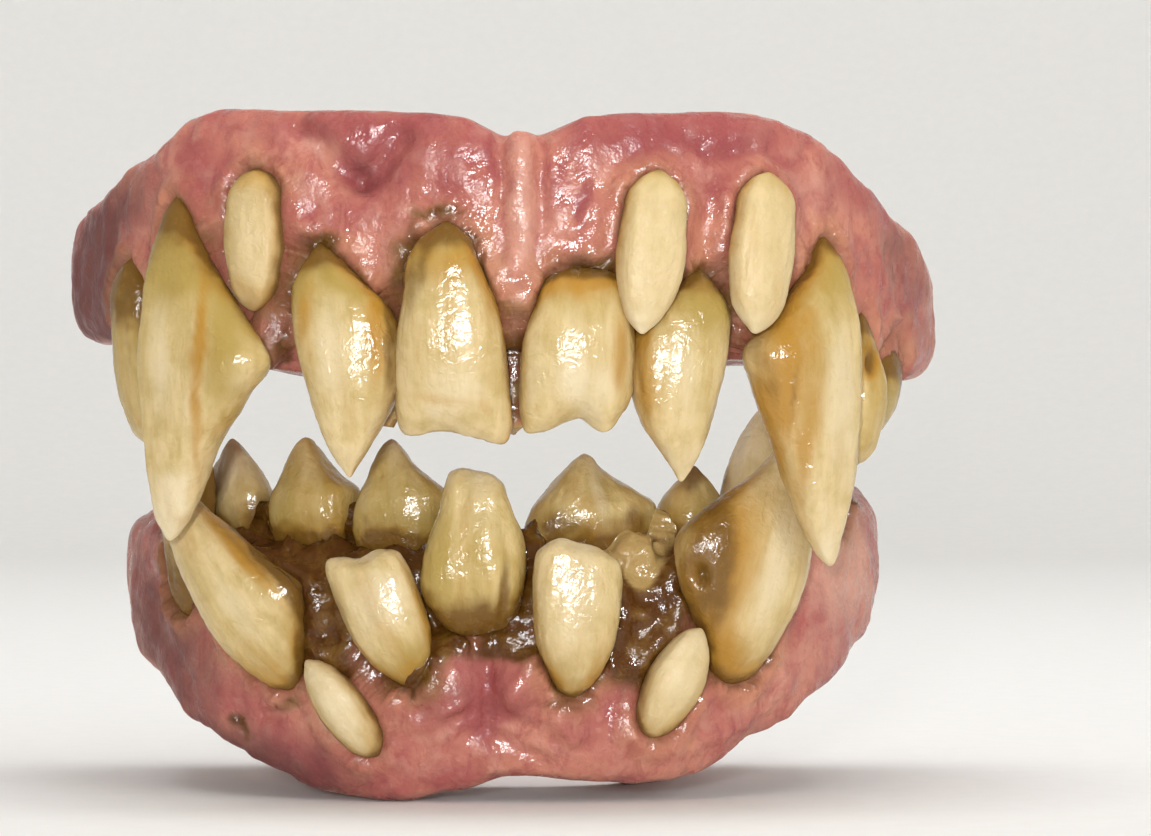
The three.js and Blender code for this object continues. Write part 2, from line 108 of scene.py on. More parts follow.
# Surface of a fang: fine bumps in millimetres, lumps of olive fangs against others, where dents begin in
# their noise and how deep they go, and shares of the length over which it fades at the root and at the tip.
FINE_BUMPS = 0.04
OLIVE_LUMPS = 1.8
DENT_LEVEL = 0.35
DENT_DEPTH = 3.0
ROOT_FADE = (0.0, 0.08)
TIP_FADE = (0.94, 1.0)
TIP_LOSS = 0.5

# Way that a seed shifts noise, and noise on a fang and on a gum: stretch along it, size of its features in
# millimetres, step of its seed.
SEED_SHIFT = (17.3, -9.1, 5.7)
FANG_NOISE = {
    "grain": (0.12, 0.7, 0),
    "lumps": (0.45, 2.6, 40),
    "fine": (1.0, 0.55, 80),
    "dents": (1.0, 0.9, 120),
    "across": (1.0, 1.6, 160),
    "down": (1.0, 1.6, 200),
    "streak": (0.15, 1.1, 240),
    "tide": (1.0, 1.3, 280),
    "bands": (0.07, 1.7, 320),
    "tartar": (1.0, 0.8, 360),
}
GUM_NOISE = {
    "swelling": (1.0, 5.0, 0),
    "bumps": (1.0, 2.1, 1),
    "ripple": (1.0, 0.9, 2),
    "across": (1.0, 2.4, 3),
    "down": (1.0, 2.4, 4),
    "crust": (1.0, 0.95, 5),
    "beside": (1.0, 1.8, 6),
    "margin": (1.0, 1.2, 7),
    "threads": (0.35, 1.3, 8),
    "torn": (1.0, 1.2, 9),
}
GUM_SEEDS = {"upper": 300, "lower": 400}

# Pixels by which noise moves the edges of marks, and the share of it that moves folds.
FANG_WOBBLE = 3.0
GUM_WOBBLE = 13.0
FOLD_WOBBLE = 0.3

# Dirt on a fang above the gum: mask, strength, and distances in millimetres between which it fades.
FANG_DIRT = (("brown", 0.8, 0.3, 2.0), ("amber", 0.5, 0.4, 3.4), ("olive", 0.4, 0.8, 4.5))
TARTAR = 0.5
TARTAR_FADE = (0.6, 3.8)
TARTAR_RAGGED = 1.2

# Unevenness of the dirt's edge by noise and by streaks, in millimetres, and of the brown root's by streaks,
# as a share of the length.
TIDE_RAGGED = 0.5
TIDE_STREAK = 0.6
ROOT_STREAK = 0.1

# Olive halo of the brown root, as shares of its reach, and its strength.
HALO_FADE = (0.4, 1.9)
HALO = 0.7

# Dirt and painted shade on the flanks of a fang, darker where its surface turns from the front: cosines
# between which it fades to the front, its least share where there is no streak, and the strengths of its
# colours, with what the brown loses towards the tip.
FLANK_FADE = (-0.2, 0.75)
FLANK_LEAST = 0.35
FLANK_BROWN = 0.6
FLANK_LOSS = 0.8
FLANK_AMBER = 0.7

# Lengthwise bands of a fang, its worn tip and its dents: strength, and the noise or length over which each
# grows.
BAND_AMBER = 0.2
BAND_AMBER_FADE = (0.1, 0.55)
BAND_PALE = 0.3
BAND_PALE_FADE = (0.1, 0.5)
WORN_TIP = 0.55
WORN_TIP_FADE = (0.72, 1.0)
DENT_AMBER = 0.18

# Easing of the gum's mesh: rounds, pull and push, its share at a fang, and the gaps in millimetres over
# which that grows.
EASE_ROUNDS = 45
EASE_PULL = 0.6
EASE_PUSH = -0.61
EASE_LEAST = 0.25
EASE_FADE = (0.5, 1.6)

# Closing of the gum round the fangs, in millimetres: gap left, longest move, and gaps over which it fades.
CLOSE_LEFT = 0.03
CLOSE_MOST = 1.1
CLOSE_FADE = (0.9, 2.2)

# Relief of the gum in millimetres: middle and half width of the roll round a fang, how far grime tears it,
# gaps over which the rest grows, and heights of its ripples, threads and crust.
CUFF_MIDDLE = 0.8
CUFF_HALF = 0.6
CUFF_TORN = 1.3
RELIEF_FADE = (0.1, 0.9)
BUMPS_SHARE = 0.3
RIPPLE_HIGH = 0.07
THREADS_HIGH = 0.13
CRUST_HIGH = 0.36
SHOWN_LEAST = 0.25

# Cosines over which the gum counts as outside, as biting, and as rolled.
OUTSIDE_FADE = (0.0, 0.5)
BITING_FADE = (0.2, 0.8)
ROLLED_FADE = (-0.3, 0.4)
ROLLED_LESS = 0.3

# Dirt of the gum: distances to a fang over which it fades, in millimetres, and to a lump in its half sizes.
BITE_DIRT = 0.9
BITE_FADE = (1.5, 5.0)
WET_FADE = (0.6, 2.4)
BESIDE_FADE = (0.5, 3.0)
BESIDE_LEAST = 0.3
BESIDE_RAGGED = 0.8
MARGIN_FADE = (0.15, 0.85)
MARGIN_RAGGED = 0.4
BLOB_FADE = (1.1, 1.5)
BLOB_ROUND = 16

# Noise of the materials: features to a millimetre of enamel and to a metre of gum and paper, and its stretch
# along a fang and up a gum.
SPOTS_SCALE = 1.9
LINES_SCALE = 2.4
FIBRES_SCALE = 8.0
CREASES_SCALE = 1.5
ENAMEL_STRETCH = 0.14
BROAD_SCALE = 900.0
CLOSE_SCALE = 2600.0
THREADS_SCALE = 620.0
THREADS_STRETCH = 0.45
PAPER_SCALE = 400.0

# Most that a stain covers of the enamel, least roughness of wet gum, and shade of the paper's fibres.
STAIN_MOST = 0.92
WET_LEAST = 0.08
FIBRE_SHADE = 0.94
PAPER_ROUGHNESS = 0.85

# Sockets of a colour's mix node.
MIX_SHARE, MIX_FIRST, MIX_SECOND = 0, 6, 7
MIX_RESULT = 2

TOOTH_MASKS = ("brown", "amber", "olive", "pale")
GUM_MASKS = ("mauve", "tar", "pale", "blood", "plaque")


def table(columns, rows):
    """Rows of values as dictionaries with named columns."""
    return [dict(zip(columns, row)) for row in rows]


def by_piece(columns, groups):
    """A table for each piece."""
    return {piece: table(columns, rows) for piece, rows in groups.items()}


# How each tooth is stained and shaded. finish: its material; root: brown at the root; reach: share of the
# length that this covers; sides: brown on the flanks, dirt with painted shade; olive and amber: tint all
# over; pits: size of the surface pits in millimetres; sunk: how far the root is pressed into the gum, in
# millimetres; grime: dirt on the gum round the root; blunt, tip and wider: shares by which the root end, the
# tip end and the middle are widened.
TEETH = table(
    (
        "name", "finish", "root", "reach", "sides", "olive", "amber", "pits", "sunk", "grime", "blunt", "tip",
        "wider",
    ),
    (
        ("upper_molar_left", "olive", 0.3, 0.2, 0.3, 0.3, 0.05, 0.06, 0.5, 0.35, 0.0, 0.0, 0.0),
        ("upper_canine_left", "ivory", 0.75, 0.33, 0.42, 0.08, 0.05, 0.04, 0.4, 0.45, 0.0, 0.0, 0.0),
        ("upper_gum_peg_left", "cream", 0.3, 0.14, 0.3, 0.0, 0.05, 0.02, 0.3, 0.4, 0.3, 0.3, 0.0),
        ("upper_lateral_left", "ivory", 0.85, 0.26, 0.65, 0.06, 0.06, 0.04, 0.6, 0.6, 0.2, 0.0, 0.0),
        ("upper_central_left", "ivory", 0.9, 0.22, 0.65, 0.05, 0.1, 0.04, 0.6, 0.55, 0.26, 0.0, 0.1),
        ("upper_central_right", "ivory", 0.35, 0.2, 0.5, 0.02, 0.1, 0.04, 0.7, 0.65, 0.1, 0.0, 0.09),
        ("upper_gum_peg_mid", "cream", 0.3, 0.14, 0.3, 0.0, 0.05, 0.02, 0.3, 0.3, 0.32, 0.14, 0.04),
        ("upper_lateral_right", "ivory", 0.45, 0.3, 0.5, 0.1, 0.06, 0.04, 0.9, 0.65, 0.45, 0.0, 0.0),
        ("upper_gum_peg_right", "cream", 0.3, 0.14, 0.3, 0.0, 0.05, 0.02, 0.3, 0.28, 0.28, 0.24, 0.0),
        ("upper_canine_right", "ivory", 0.4, 0.12, 0.42, 0.05, 0.12, 0.05, 0.4, 0.42, 0.0, 0.0, 0.0),
        ("upper_premolar_right", "olive", 0.05, 0.16, 0.1, 0.2, 0.05, 0.05, 0.6, 0.3, 0.0, 0.0, 0.35),
        ("upper_molar_right", "olive", 0.1, 0.2, 0.15, 0.3, 0.05, 0.05, 0.5, 0.3, 0.0, 0.0, 0.35),
        ("lower_molar_left", "olive", 0.8, 0.6, 0.6, 0.5, 0.1, 0.05, 0, 0.5, 0.0, 0.0, 0.0),
        ("lower_premolar_left", "ivory", 0.1, 0.2, 0.15, 0.12, 0.05, 0.06, 0.0, 1.0, 0.1, 0.0, 0.25),
        ("lower_canine_left", "ivory", 0.3, 0.12, 0.5, 0.05, 0.08, 0.05, 0.7, 0.5, 0.0, 0.0, 0.0),
        ("lower_back_lateral_left", "olive", 0.35, 0.3, 0.4, 0.45, 0.08, 0.09, 0.0, 1.0, 0.1, 0.0, 0.08),
        ("lower_back_central_left", "olive", 0.4, 0.3, 0.4, 0.45, 0.1, 0.09, 0.0, 1.0, 0.1, 0.0, 0.06),
        ("lower_front_left", "ivory", 0.2, 0.1, 0.45, 0.02, 0.08, 0.05, 0.6, 0.85, 0.0, 0.0, 0.0),
        ("lower_central", "olive", 0.5, 0.38, 0.45, 0.12, 0.05, 0.07, 0.9, 0.8, 0.0, 0.0, 0.0),
        ("lower_front_right", "ivory", 0.3, 0.12, 0.4, 0.02, 0.05, 0.04, 0.7, 0.6, 0.0, 0.0, 0.0),
        ("lower_back_right", "olive", 0.4, 0.3, 0.45, 0.25, 0.12, 0.08, 0, 1, 0.1, 0.0, 0.08),
        ("lower_stub_right", "olive", 0.35, 0.5, 0.5, 0.25, 0.05, 0.12, 0.0, 1.0, 0.2, 0.0, 0.3),
        ("lower_premolar_right", "ivory", 0.15, 0.25, 0.2, 0.05, 0.04, 0.07, 0.0, 1.0, 0.0, 0.0, 0.0),
        ("lower_canine_right", "ivory", 0.25, 0.12, 0.4, 0.04, 0.1, 0.05, 0.7, 0.6, 0.0, 0.0, 0.0),
        ("lower_gum_peg_right", "cream", 0.2, 0.12, 0.2, 0.0, 0.03, 0.02, 0.2, 0.4, 0.12, 0.12, 0.14),
        ("lower_gum_peg_left", "cream", 0.2, 0.12, 0.2, 0.0, 0.03, 0.02, 0.2, 0.22, 0.14, 0.08, 0.0),
        ("lower_molar_right", "olive", 0.7, 0.4, 0.5, 0.4, 0.1, 0.06, 0, 0.6, 0.0, 0.0, 0.0),
    ),
)

# Marks on the front of the pieces, placed by the photograph's pixels. wide and tall: half size; turn: degrees
# clockwise; amount: strength of the mask.
MARK_COLUMNS = ("mask", "x", "y", "wide", "tall", "turn", "amount")
TOOTH_MARKS = by_piece(MARK_COLUMNS, {
    "upper_molar_left": (("brown", 120, 300, 16, 26, 0, 0.6),),
    "upper_canine_left": (
        ("olive", 172, 262, 24, 36, 0, 0.6),
        ("amber", 199, 345, 7, 62, 4, 0.85),
        ("amber", 196, 430, 6, 40, 0, 0.5),
        ("brown", 237, 300, 7, 34, -28, 0.55),
        ("olive", 232, 330, 20, 34, -20, 0.5),
        ("olive", 222, 385, 24, 60, -12, 0.55),
        ("brown", 168, 205, 20, 26, 0, 0.7),
        ("pale", 160, 350, 12, 70, 0, 0.5),
        ("pale", 172, 500, 14, 34, 0, 0.7),
    ),
    "upper_lateral_left": (
        ("brown", 318, 248, 20, 16, 0, 0.6),
        ("amber", 376, 340, 12, 46, 0, 0.7),
        ("brown", 388, 352, 6, 44, 0, 0.6),
        ("olive", 350, 275, 20, 24, -40, 0.45),
        ("amber", 306, 310, 7, 40, 8, 0.4),
        ("pale", 330, 350, 18, 60, -6, 0.5),
    ),
    "upper_central_left": (
        ("brown", 446, 226, 26, 22, 0, 0.6),
        ("amber", 446, 262, 34, 22, 0, 0.4),
        ("brown", 416, 280, 10, 46, 16, 0.5),
        ("pale", 455, 390, 40, 28, 0, 0.5),
        ("amber", 440, 400, 40, 6, 8, 0.25),
    ),
    "upper_central_right": (
        ("amber", 585, 284, 48, 18, 0, 0.5),
        ("olive", 585, 310, 44, 22, 0, 0.3),
        ("brown", 585, 266, 42, 12, 0, 0.8),
        ("amber", 622, 355, 9, 50, 0, 0.6),
        ("pale", 580, 385, 40, 24, 0, 0.5),
    ),
    "upper_lateral_right": (
        ("amber", 647, 374, 17, 60, -10, 0.4),
        ("brown", 640, 370, 5, 36, -6, 0.35),
        ("olive", 712, 300, 22, 34, 10, 0.6),
        ("pale", 690, 390, 16, 60, 0, 0.25),
    ),
    "upper_canine_right": (
        ("olive", 800, 330, 50, 80, 0, 0.4),
        ("amber", 782, 380, 30, 92, 9, 0.65),
        ("brown", 764, 366, 13, 36, -24, 0.45),
        ("amber", 806, 450, 10, 50, 6, 0.45),
        ("brown", 794, 400, 3.5, 44, 9, 0.4),
        ("pale", 842, 400, 18, 90, 0, 0.6),
        ("olive", 838, 290, 18, 30, 0, 0.3),
    ),
    "upper_premolar_right": (
        ("brown", 872, 363, 7, 12, 0, 0.9),
        ("amber", 872, 363, 10, 16, 0, 1.0),
    ),
    "lower_premolar_left": (
        ("brown", 258, 512, 10, 20, 10, 0.5),
        # Pale on this fang: painted light, as it sits in shade behind the upper canine.
        ("pale", 226, 455, 24, 34, 0, 0.8),
    ),
    "lower_premolar_right": (
        # Pale on this fang: its pale enamel, and painted light where it is lit.
        ("pale", 742, 440, 16, 40, 10, 0.8),
        ("brown", 722, 490, 8, 26, 20, 0.5),
    ),
    "lower_canine_left": (
        ("brown", 268, 558, 12, 64, -42, 0.7),
        ("brown", 252, 545, 3, 54, -42, 0.8),
        ("brown", 240, 536, 2.5, 46, -42, 0.6),
        ("amber", 242, 555, 10, 62, -42, 0.6),
        ("brown", 296, 600, 10, 34, -14, 0.45),
        ("pale", 236, 610, 16, 50, -35, 0.4),
    ),
    "lower_front_left": (
        ("amber", 366, 666, 8, 36, -38, 0.4),
        ("olive", 410, 665, 22, 24, -20, 0.5),
        ("pale", 382, 600, 34, 34, 0, 0.6),
        ("brown", 338, 600, 6, 30, -20, 0.4),
    ),
    "lower_central": (
        ("brown", 505, 590, 6, 40, 6, 0.8),
        ("brown", 470, 622, 46, 26, 0, 0.5),
        ("olive", 440, 560, 14, 50, 0, 0.5),
        ("pale", 480, 500, 24, 40, 0, 0.3),
    ),
    "lower_front_right": (
        ("pale", 575, 600, 30, 70, 0, 0.45),
        ("amber", 600, 660, 8, 40, 20, 0.3),
    ),
    "lower_back_right": (
        ("brown", 560, 525, 22, 18, 0, 0.6),
        ("pale", 600, 500, 8, 34, -14, 0.6),
        ("brown", 636, 520, 12, 20, 0, 0.6),
    ),
    "lower_back_lateral_left": (("pale", 300, 465, 14, 24, 0, 0.25),),
    "lower_canine_right": (
        ("brown", 706, 545, 26, 62, 16, 0.85),
        ("amber", 722, 562, 34, 84, 16, 0.85),
        ("olive", 704, 520, 34, 40, 0, 0.5),
        ("brown", 722, 590, 16, 56, 16, 0.6),
        ("brown", 704, 577, 5, 9, 0, 0.9),
        ("amber", 728, 655, 24, 30, 10, 0.5),
        ("pale", 778, 560, 18, 80, 14, 0.6),
    ),
    "lower_gum_peg_right": (("pale", 680, 680, 24, 44, 24, 0.4),),
    "lower_gum_peg_left": (("pale", 340, 710, 24, 44, -24, 0.6),),
})

# Pits and cracks cut into the teeth: places as for the marks; deep in millimetres, below zero for a ridge.
PIT_COLUMNS = ("x", "y", "wide", "tall", "turn", "deep")
TOOTH_PITS = by_piece(PIT_COLUMNS, {
    "upper_premolar_right": ((872, 363, 6, 10, 0, 0.5),),
    "lower_canine_right": (
        (699, 574, 7, 11, 0, 0.8),
        (704, 577, 4, 7, 0, 0.6),
    ),
    "lower_canine_left": (
        (268, 552, 2.5, 60, -42, 0.14),
        (258, 566, 2.5, 60, -42, 0.12),
        (280, 560, 2.5, 50, -38, 0.12),
        (262, 616, 3, 3, 0, 0.2),
        (272, 622, 3, 4, 0, 0.22),
    ),
    "lower_central": ((505, 585, 5, 36, 6, 0.25),),
    "upper_canine_left": ((206, 350, 3, 70, 4, 0.08),),
    "upper_canine_right": (
        (792, 410, 3, 70, -8, 0.09),
        (816, 430, 3, 80, -4, -0.1),
    ),
    "upper_lateral_right": (
        (668, 380, 3, 60, -4, 0.12),
        (684, 420, 4, 60, -2, -0.12),
    ),
    "upper_lateral_left": ((362, 350, 3, 60, 4, 0.1),),
    "lower_back_right": ((600, 495, 5, 40, -14, -0.15),),
    "lower_back_lateral_left": (
        (310, 490, 3, 4, 0, 0.15),
        (325, 510, 4, 3, 0, 0.15),
    ),
    "lower_back_central_left": (
        (380, 475, 3, 3, 0, 0.15),
        (400, 505, 4, 3, 0, 0.15),
    ),
})

# Blotches of the gums, as for the teeth. Mauve: the gum's purple tint, and painted shade on the left side,
# along the rims and on the edges that turn away; tar: brown glossy dirt, and painted shade in the slits
# between the upper fangs; pale: worn light, with painted highlights and painted light on a side turned from
# the lamps; deep red: the gum's red, and painted shade in the folds and along the rims; plaque: tan crust.
GUM_MARKS = by_piece(MARK_COLUMNS, {
    "upper_gum": (
        # Mauve on the left side: the gum's purple tint, and painted shade where the gum turns from the lamps.
        ("mauve", 70, 330, 44, 104, 16, 1.7),
        # Painted highlights: two pale spots on the swellings of the left gum.
        ("pale", 101, 250, 9, 24, 0, 0.45),
        ("pale", 147, 205, 9, 22, 10, 0.4),
        ("mauve", 120, 200, 60, 36, -40, 0.45),
        # Deep red along the top and in the creases, with mauve in the V of the folds: the gum's red and
        # purple, and painted shade in the creases and where the top rolls away.
        ("blood", 330, 122, 120, 22, 0, 0.6),
        ("blood", 430, 150, 60, 30, 10, 0.5),
        ("blood", 362, 165, 26, 34, 0, 1.2),
        ("mauve", 362, 168, 18, 24, 0, 0.35),
        ("blood", 490, 165, 8, 34, 0, 0.7),
        ("pale", 522, 180, 13, 60, 0, 0.5),
        # Deep red along the top on the right and in a crease: the gum's red, and painted shade where the top
        # rolls away.
        ("blood", 700, 130, 130, 24, 0, 0.6),
        ("blood", 720, 152, 44, 14, 0, 0.5),
        ("blood", 582, 200, 8, 18, 24, 0.8),
        ("pale", 320, 150, 30, 18, 20, 0.35),
        ("pale", 800, 200, 40, 40, 0, 0.35),
        ("pale", 550, 215, 40, 36, 0, 0.35),
        ("mauve", 268, 342, 26, 34, 0, 0.55),
        # Tar along the roots and in the gaps between the upper fangs: brown dirt, and painted shade in the
        # slits between the fangs.
        ("tar", 280, 270, 18, 34, 20, 0.4),
        ("tar", 405, 270, 10, 60, 10, 0.75),
        ("tar", 444, 212, 26, 9, 0, 0.85),
        ("tar", 320, 240, 22, 9, 0, 0.85),
        ("tar", 585, 262, 38, 12, 0, 0.8),
        ("tar", 512, 370, 12, 60, 0, 0.9),
        ("tar", 735, 290, 12, 44, 0, 0.6),
        ("tar", 290, 330, 10, 40, 0, 0.45),
        # Mauve and deep red at the right edge: the gum's purple and red, and painted shade where the gum
        # turns away.
        ("mauve", 910, 270, 30, 80, -10, 0.45),
        ("blood", 868, 190, 60, 30, 42, 0.6),
        ("blood", 620, 150, 70, 26, 0, 0.45),
        ("plaque", 513, 400, 10, 50, 0, 0.7),
        ("plaque", 393, 380, 8, 50, 0, 0.6),
    ),
    "lower_gum": (
        # Mauve over the lower left and along the bottom rim: the gum's purple tint, and painted shade where
        # the gum turns from the lamps.
        ("mauve", 155, 640, 70, 120, -20, 0.7),
        ("mauve", 270, 770, 110, 40, 14, 0.8),
        ("tar", 328, 622, 30, 52, 0, 1.5),
        ("tar", 300, 555, 40, 20, 0, 0.9),
        ("tar", 412, 555, 16, 44, 0, 1.3),
        ("tar", 434, 620, 14, 46, 0, 1.3),
        ("tar", 528, 585, 14, 70, 0, 1.3),
        ("tar", 505, 640, 26, 20, 0, 0.6),
        ("tar", 632, 640, 38, 50, 20, 1.5),
        ("tar", 662, 570, 34, 60, 0, 1.5),
        ("tar", 180, 580, 20, 40, 0, 0.5),
        ("tar", 565, 705, 34, 10, 0, 0.6),
        ("plaque", 640, 566, 12, 28, 0, 1.5),
        ("plaque", 662, 528, 14, 26, 0, 1.0),
        # Deep red under the middle fangs: the gum's red, and painted shade down the middle of the lower gum.
        ("blood", 450, 700, 80, 30, 0, 0.6),
        ("tar", 424, 682, 54, 18, 10, 0.35),
        ("tar", 478, 648, 46, 16, 0, 0.8),
        ("tar", 262, 530, 30, 30, 0, 1.2),
        ("tar", 332, 668, 30, 16, 24, 0.8),
        ("tar", 300, 640, 14, 36, 0, 0.8),
        # Mauve down the middle of the lower gum: painted shade with the gum's purple.
        ("mauve", 450, 704, 90, 34, 0, 0.15),
        # Pale on the right of the lower gum: painted light on a side turned from the key lamp.
        ("pale", 840, 560, 34, 70, 0, 1.0),
        ("pale", 800, 660, 50, 30, -30, 0.3),
        # Deep red in the middle folds: the gum's red, and painted shade in the creases.
        ("blood", 487, 712, 20, 34, 0, 0.6),
        ("blood", 510, 745, 40, 10, 20, 0.4),
        ("tar", 240, 720, 5, 16, -20, 0.8),
        ("tar", 286, 706, 22, 4, -14, 0.7),
    ),
})

# Folds of the gums: height in millimetres, below zero for a crease; width in millimetres; the line in pixels.
GUM_FOLDS = by_piece(("height", "width", "line"), {
    "upper_gum": (
        (0.55, 1.0, ((522, 130), (521, 200), (520, 262))),
        (-0.5, 0.5, ((502, 134), (501, 164), (504, 200))),
        (-0.4, 0.5, ((541, 140), (540, 190), (542, 230))),
        (-0.95, 1.2, ((299, 126), (325, 152), (356, 180))),
        (-0.85, 1.1, ((398, 136), (386, 156), (364, 180))),
        (-0.35, 0.5, ((589, 189), (580, 203), (573, 216))),
        (-0.3, 0.6, ((690, 140), (715, 158), (748, 146))),
        (-0.25, 0.5, ((120, 190), (112, 240), (120, 290))),
        (-0.25, 0.5, ((95, 250), (90, 290), (96, 330))),
        (-0.25, 0.6, ((880, 170), (900, 220), (905, 280))),
        (0.3, 0.9, ((850, 160), (868, 210), (880, 280))),
        (0.3, 1.2, ((285, 205), (270, 250), (282, 300))),
        (-0.25, 0.4, ((892, 250), (898, 300), (910, 345))),
        (-0.25, 0.4, ((870, 250), (884, 290), (888, 340))),
        (-0.2, 0.4, ((906, 240), (918, 280), (922, 320))),
        (-0.2, 0.4, ((820, 240), (846, 260), (858, 300))),
        (-0.2, 0.4, ((150, 150), (160, 180), (150, 205))),
        (-0.2, 0.4, ((86, 220), (80, 260), (84, 300))),
    ),
    "lower_gum": (
        (-0.45, 0.6, ((487, 662), (486, 695), (488, 726))),
        (-0.35, 0.6, ((470, 733), (501, 739), (545, 762))),
        (-0.3, 0.6, ((239, 704), (242, 720), (248, 734))),
        (-0.3, 0.6, ((266, 714), (286, 708), (306, 699))),
        (-0.3, 0.6, ((257, 690), (261, 694))),
        (0.35, 1.2, ((420, 690), (450, 700), (478, 690))),
        (0.35, 1.2, ((505, 690), (530, 705), (560, 715))),
        (-0.3, 0.7, ((700, 760), (760, 730), (800, 690))),
        (-0.25, 0.6, ((150, 580), (160, 630), (185, 680))),
        (0.3, 1.0, ((630, 735), (655, 750), (690, 745))),
        (0.5, 0.65, ((386, 703), (411, 712))),
        (0.5, 0.65, ((414, 724), (427, 724))),
        (0.5, 0.65, ((440, 713), (457, 702))),
        (0.5, 0.65, ((516, 692), (527, 676))),
        (0.5, 0.65, ((556, 722), (570, 738))),
    ),
})

# Lumps of gum and dirt that fill the gaps between fangs: middle and half sizes in millimetres of the row
# frame, and the mask on each with its strength.
GUM_BLOBS = by_piece(("middle", "half", "crust", "amount"), {
    "upper_gum": (
        ((1.2, -14.4, 31.2), (0.8, 1.3, 3.5), "plaque", 1.0),
        ((-7.8, -13.8, 32.2), (0.7, 1.3, 3.4), "plaque", 1.0),
        ((-7.2, -15.6, 39.6), (1.3, 1.5, 3.2), "pale", 0.4),
        ((1.4, -16.0, 38.2), (1.5, 1.5, 4.2), "pale", 0.4),
        ((-16.6, -12.4, 35.6), (1.3, 1.1, 2.4), "tar", 0.3),
        ((17.6, -12.3, 37.6), (1.3, 1.2, 3.0), "pale", 0.4),
        ((10.0, -14.4, 34.0), (1.0, 1.5, 3.2), "tar", 0.8),
    ),
    "lower_gum": (
        ((-4.3, -12.4, 9.8), (2.6, 1.6, 2.6), "pale", 0.3),
        ((1.7, -12.2, 9.4), (2.0, 1.7, 2.6), "blood", 0.3),
        ((12.2, -6.4, 19.2), (1.6, 1.6, 2.8), "tar", 1.0),
        ((10.0, -9.0, 18.0), (1.9, 1.6, 2.4), "plaque", 1.0),
        ((2.2, -9.6, 18.6), (1.1, 1.5, 2.9), "tar", 1.0),
        ((-11.0, -5.2, 19.8), (1.1, 1.5, 2.9), "tar", 1.0),
        ((-17.9, -3.4, 20.0), (1.3, 1.4, 2.7), "tar", 1.0),
    ),
})

# Materials of the fangs: setting of the colour, roughness against clean enamel, and strength of the streaks.
ENAMELS = table(
    ("finish", "colour", "rough", "streaks"),
    (("ivory", "ivory", 1.0, 0.75), ("cream", "cream", 3.0, 0.3), ("olive", "tan", 1.0, 1.0)),
)

# Lights: place and size in metres, and whether wet and matt surfaces show them. Their powers are the stage's
# settings of the same names.
LIGHTS = table(
    ("name", "spot", "size", "wet", "matt"),
    (
        ("key", (-0.03, -0.44, 0.075), 0.035, True, True),
        ("glint", (0.07, -0.42, 0.13), 0.05, True, False),
        ("fill", (0.4, -0.38, 0.26), 0.3, False, True),
        ("top", (0.02, -0.06, 0.36), 0.3, False, True),
        ("back", (0.0, 0.1, 0.6), 0.5, False, True),
    ),
)


# Settings

def colour_setting(name, description, default):
    return FloatVectorProperty(
        name=name, description=description, default=default, subtype="COLOR", min=0, max=1)


def length_setting(name, description, default, least=0):
    return FloatProperty(name=name, description=description, default=default, unit="LENGTH", min=least)


def share_setting(name, description, default):
    return FloatProperty(
        name=name, description=description, default=default, subtype="FACTOR", min=0, max=1)


def power_setting(name, description, default):
    return FloatProperty(name=name, description=description, default=default, unit="POWER", min=0)


class FangFinish(bpy.types.PropertyGroup):
    """Colours and surface of the fangs."""

    ivory: colour_setting("Ivory", "Clean enamel", (0.61, 0.455, 0.21))
    cream: colour_setting("Cream", "Enamel of the small pegs", (0.62, 0.465, 0.225))
    tan: colour_setting("Tan", "Enamel of the back cusps", (0.58, 0.425, 0.165))
    # Pale also paints light on two lower fangs.
    pale: colour_setting("Pale", "Worn bright enamel", (0.69, 0.58, 0.38))
    # Amber and brown also paint shade on the flanks of the fangs, with their dirt.
    amber: colour_setting("Amber", "Orange stain", (0.4, 0.2, 0.024))
    olive: colour_setting("Olive", "Greenish plaque", (0.36, 0.25, 0.06))
    brown: colour_setting("Brown", "Dark tartar", (0.15, 0.072, 0.012))
    grain: length_setting("Grain", "Height of the lengthwise grain", 0.07 * MM)
    lumps: length_setting("Lumps", "Height of the uneven growth", 0.2 * MM)
    roughness: share_setting("Roughness", "Roughness of clean enamel", 0.2)


class GumFinish(bpy.types.PropertyGroup):
    """Colours and surface of the gums."""

    pink: colour_setting("Pink", "Main gum colour", (0.5, 0.2, 0.14))
    rose: colour_setting("Rose", "Mottling of the gum", (0.36, 0.1, 0.088))
    # Worn also paints highlights and light on the gum where the pale marks lie.
    worn_and_lit: colour_setting("Worn", "Pale stretched gum", (0.58, 0.31, 0.23))
    # Mauve is also painted shade on the left side, along the rims and on edges that turn away.
    mauve: colour_setting("Mauve", "Bruised gum", (0.12, 0.036, 0.034))
    # Deep red is also painted shade in the folds and along the rims.
    blood: colour_setting("Deep red", "Gum in the folds", (0.29, 0.065, 0.068))
    tan: colour_setting("Tan", "Gum beside the fangs", (0.44, 0.21, 0.09))
    # Tar also paints shade in the slits between the upper fangs.
    tar: colour_setting("Tar", "Dirt between the fangs", (0.075, 0.028, 0.003))
    plaque: colour_setting("Plaque", "Tan crust on the gum", (0.46, 0.31, 0.115))
    resin: colour_setting("Resin", "Clear brown dirt", (0.16, 0.078, 0.009))
    voxel: length_setting("Step", "Size of the gum's mesh cells", 0.34 * MM, 0.2 * MM)
    lumps: length_setting("Lumps", "Height of the gum's swellings", 0.32 * MM)
    cuff: length_setting("Cuff", "Height of the roll round each fang", 0.62 * MM)
    roughness: share_setting("Roughness", "Roughness of the wet gum", 0.26)


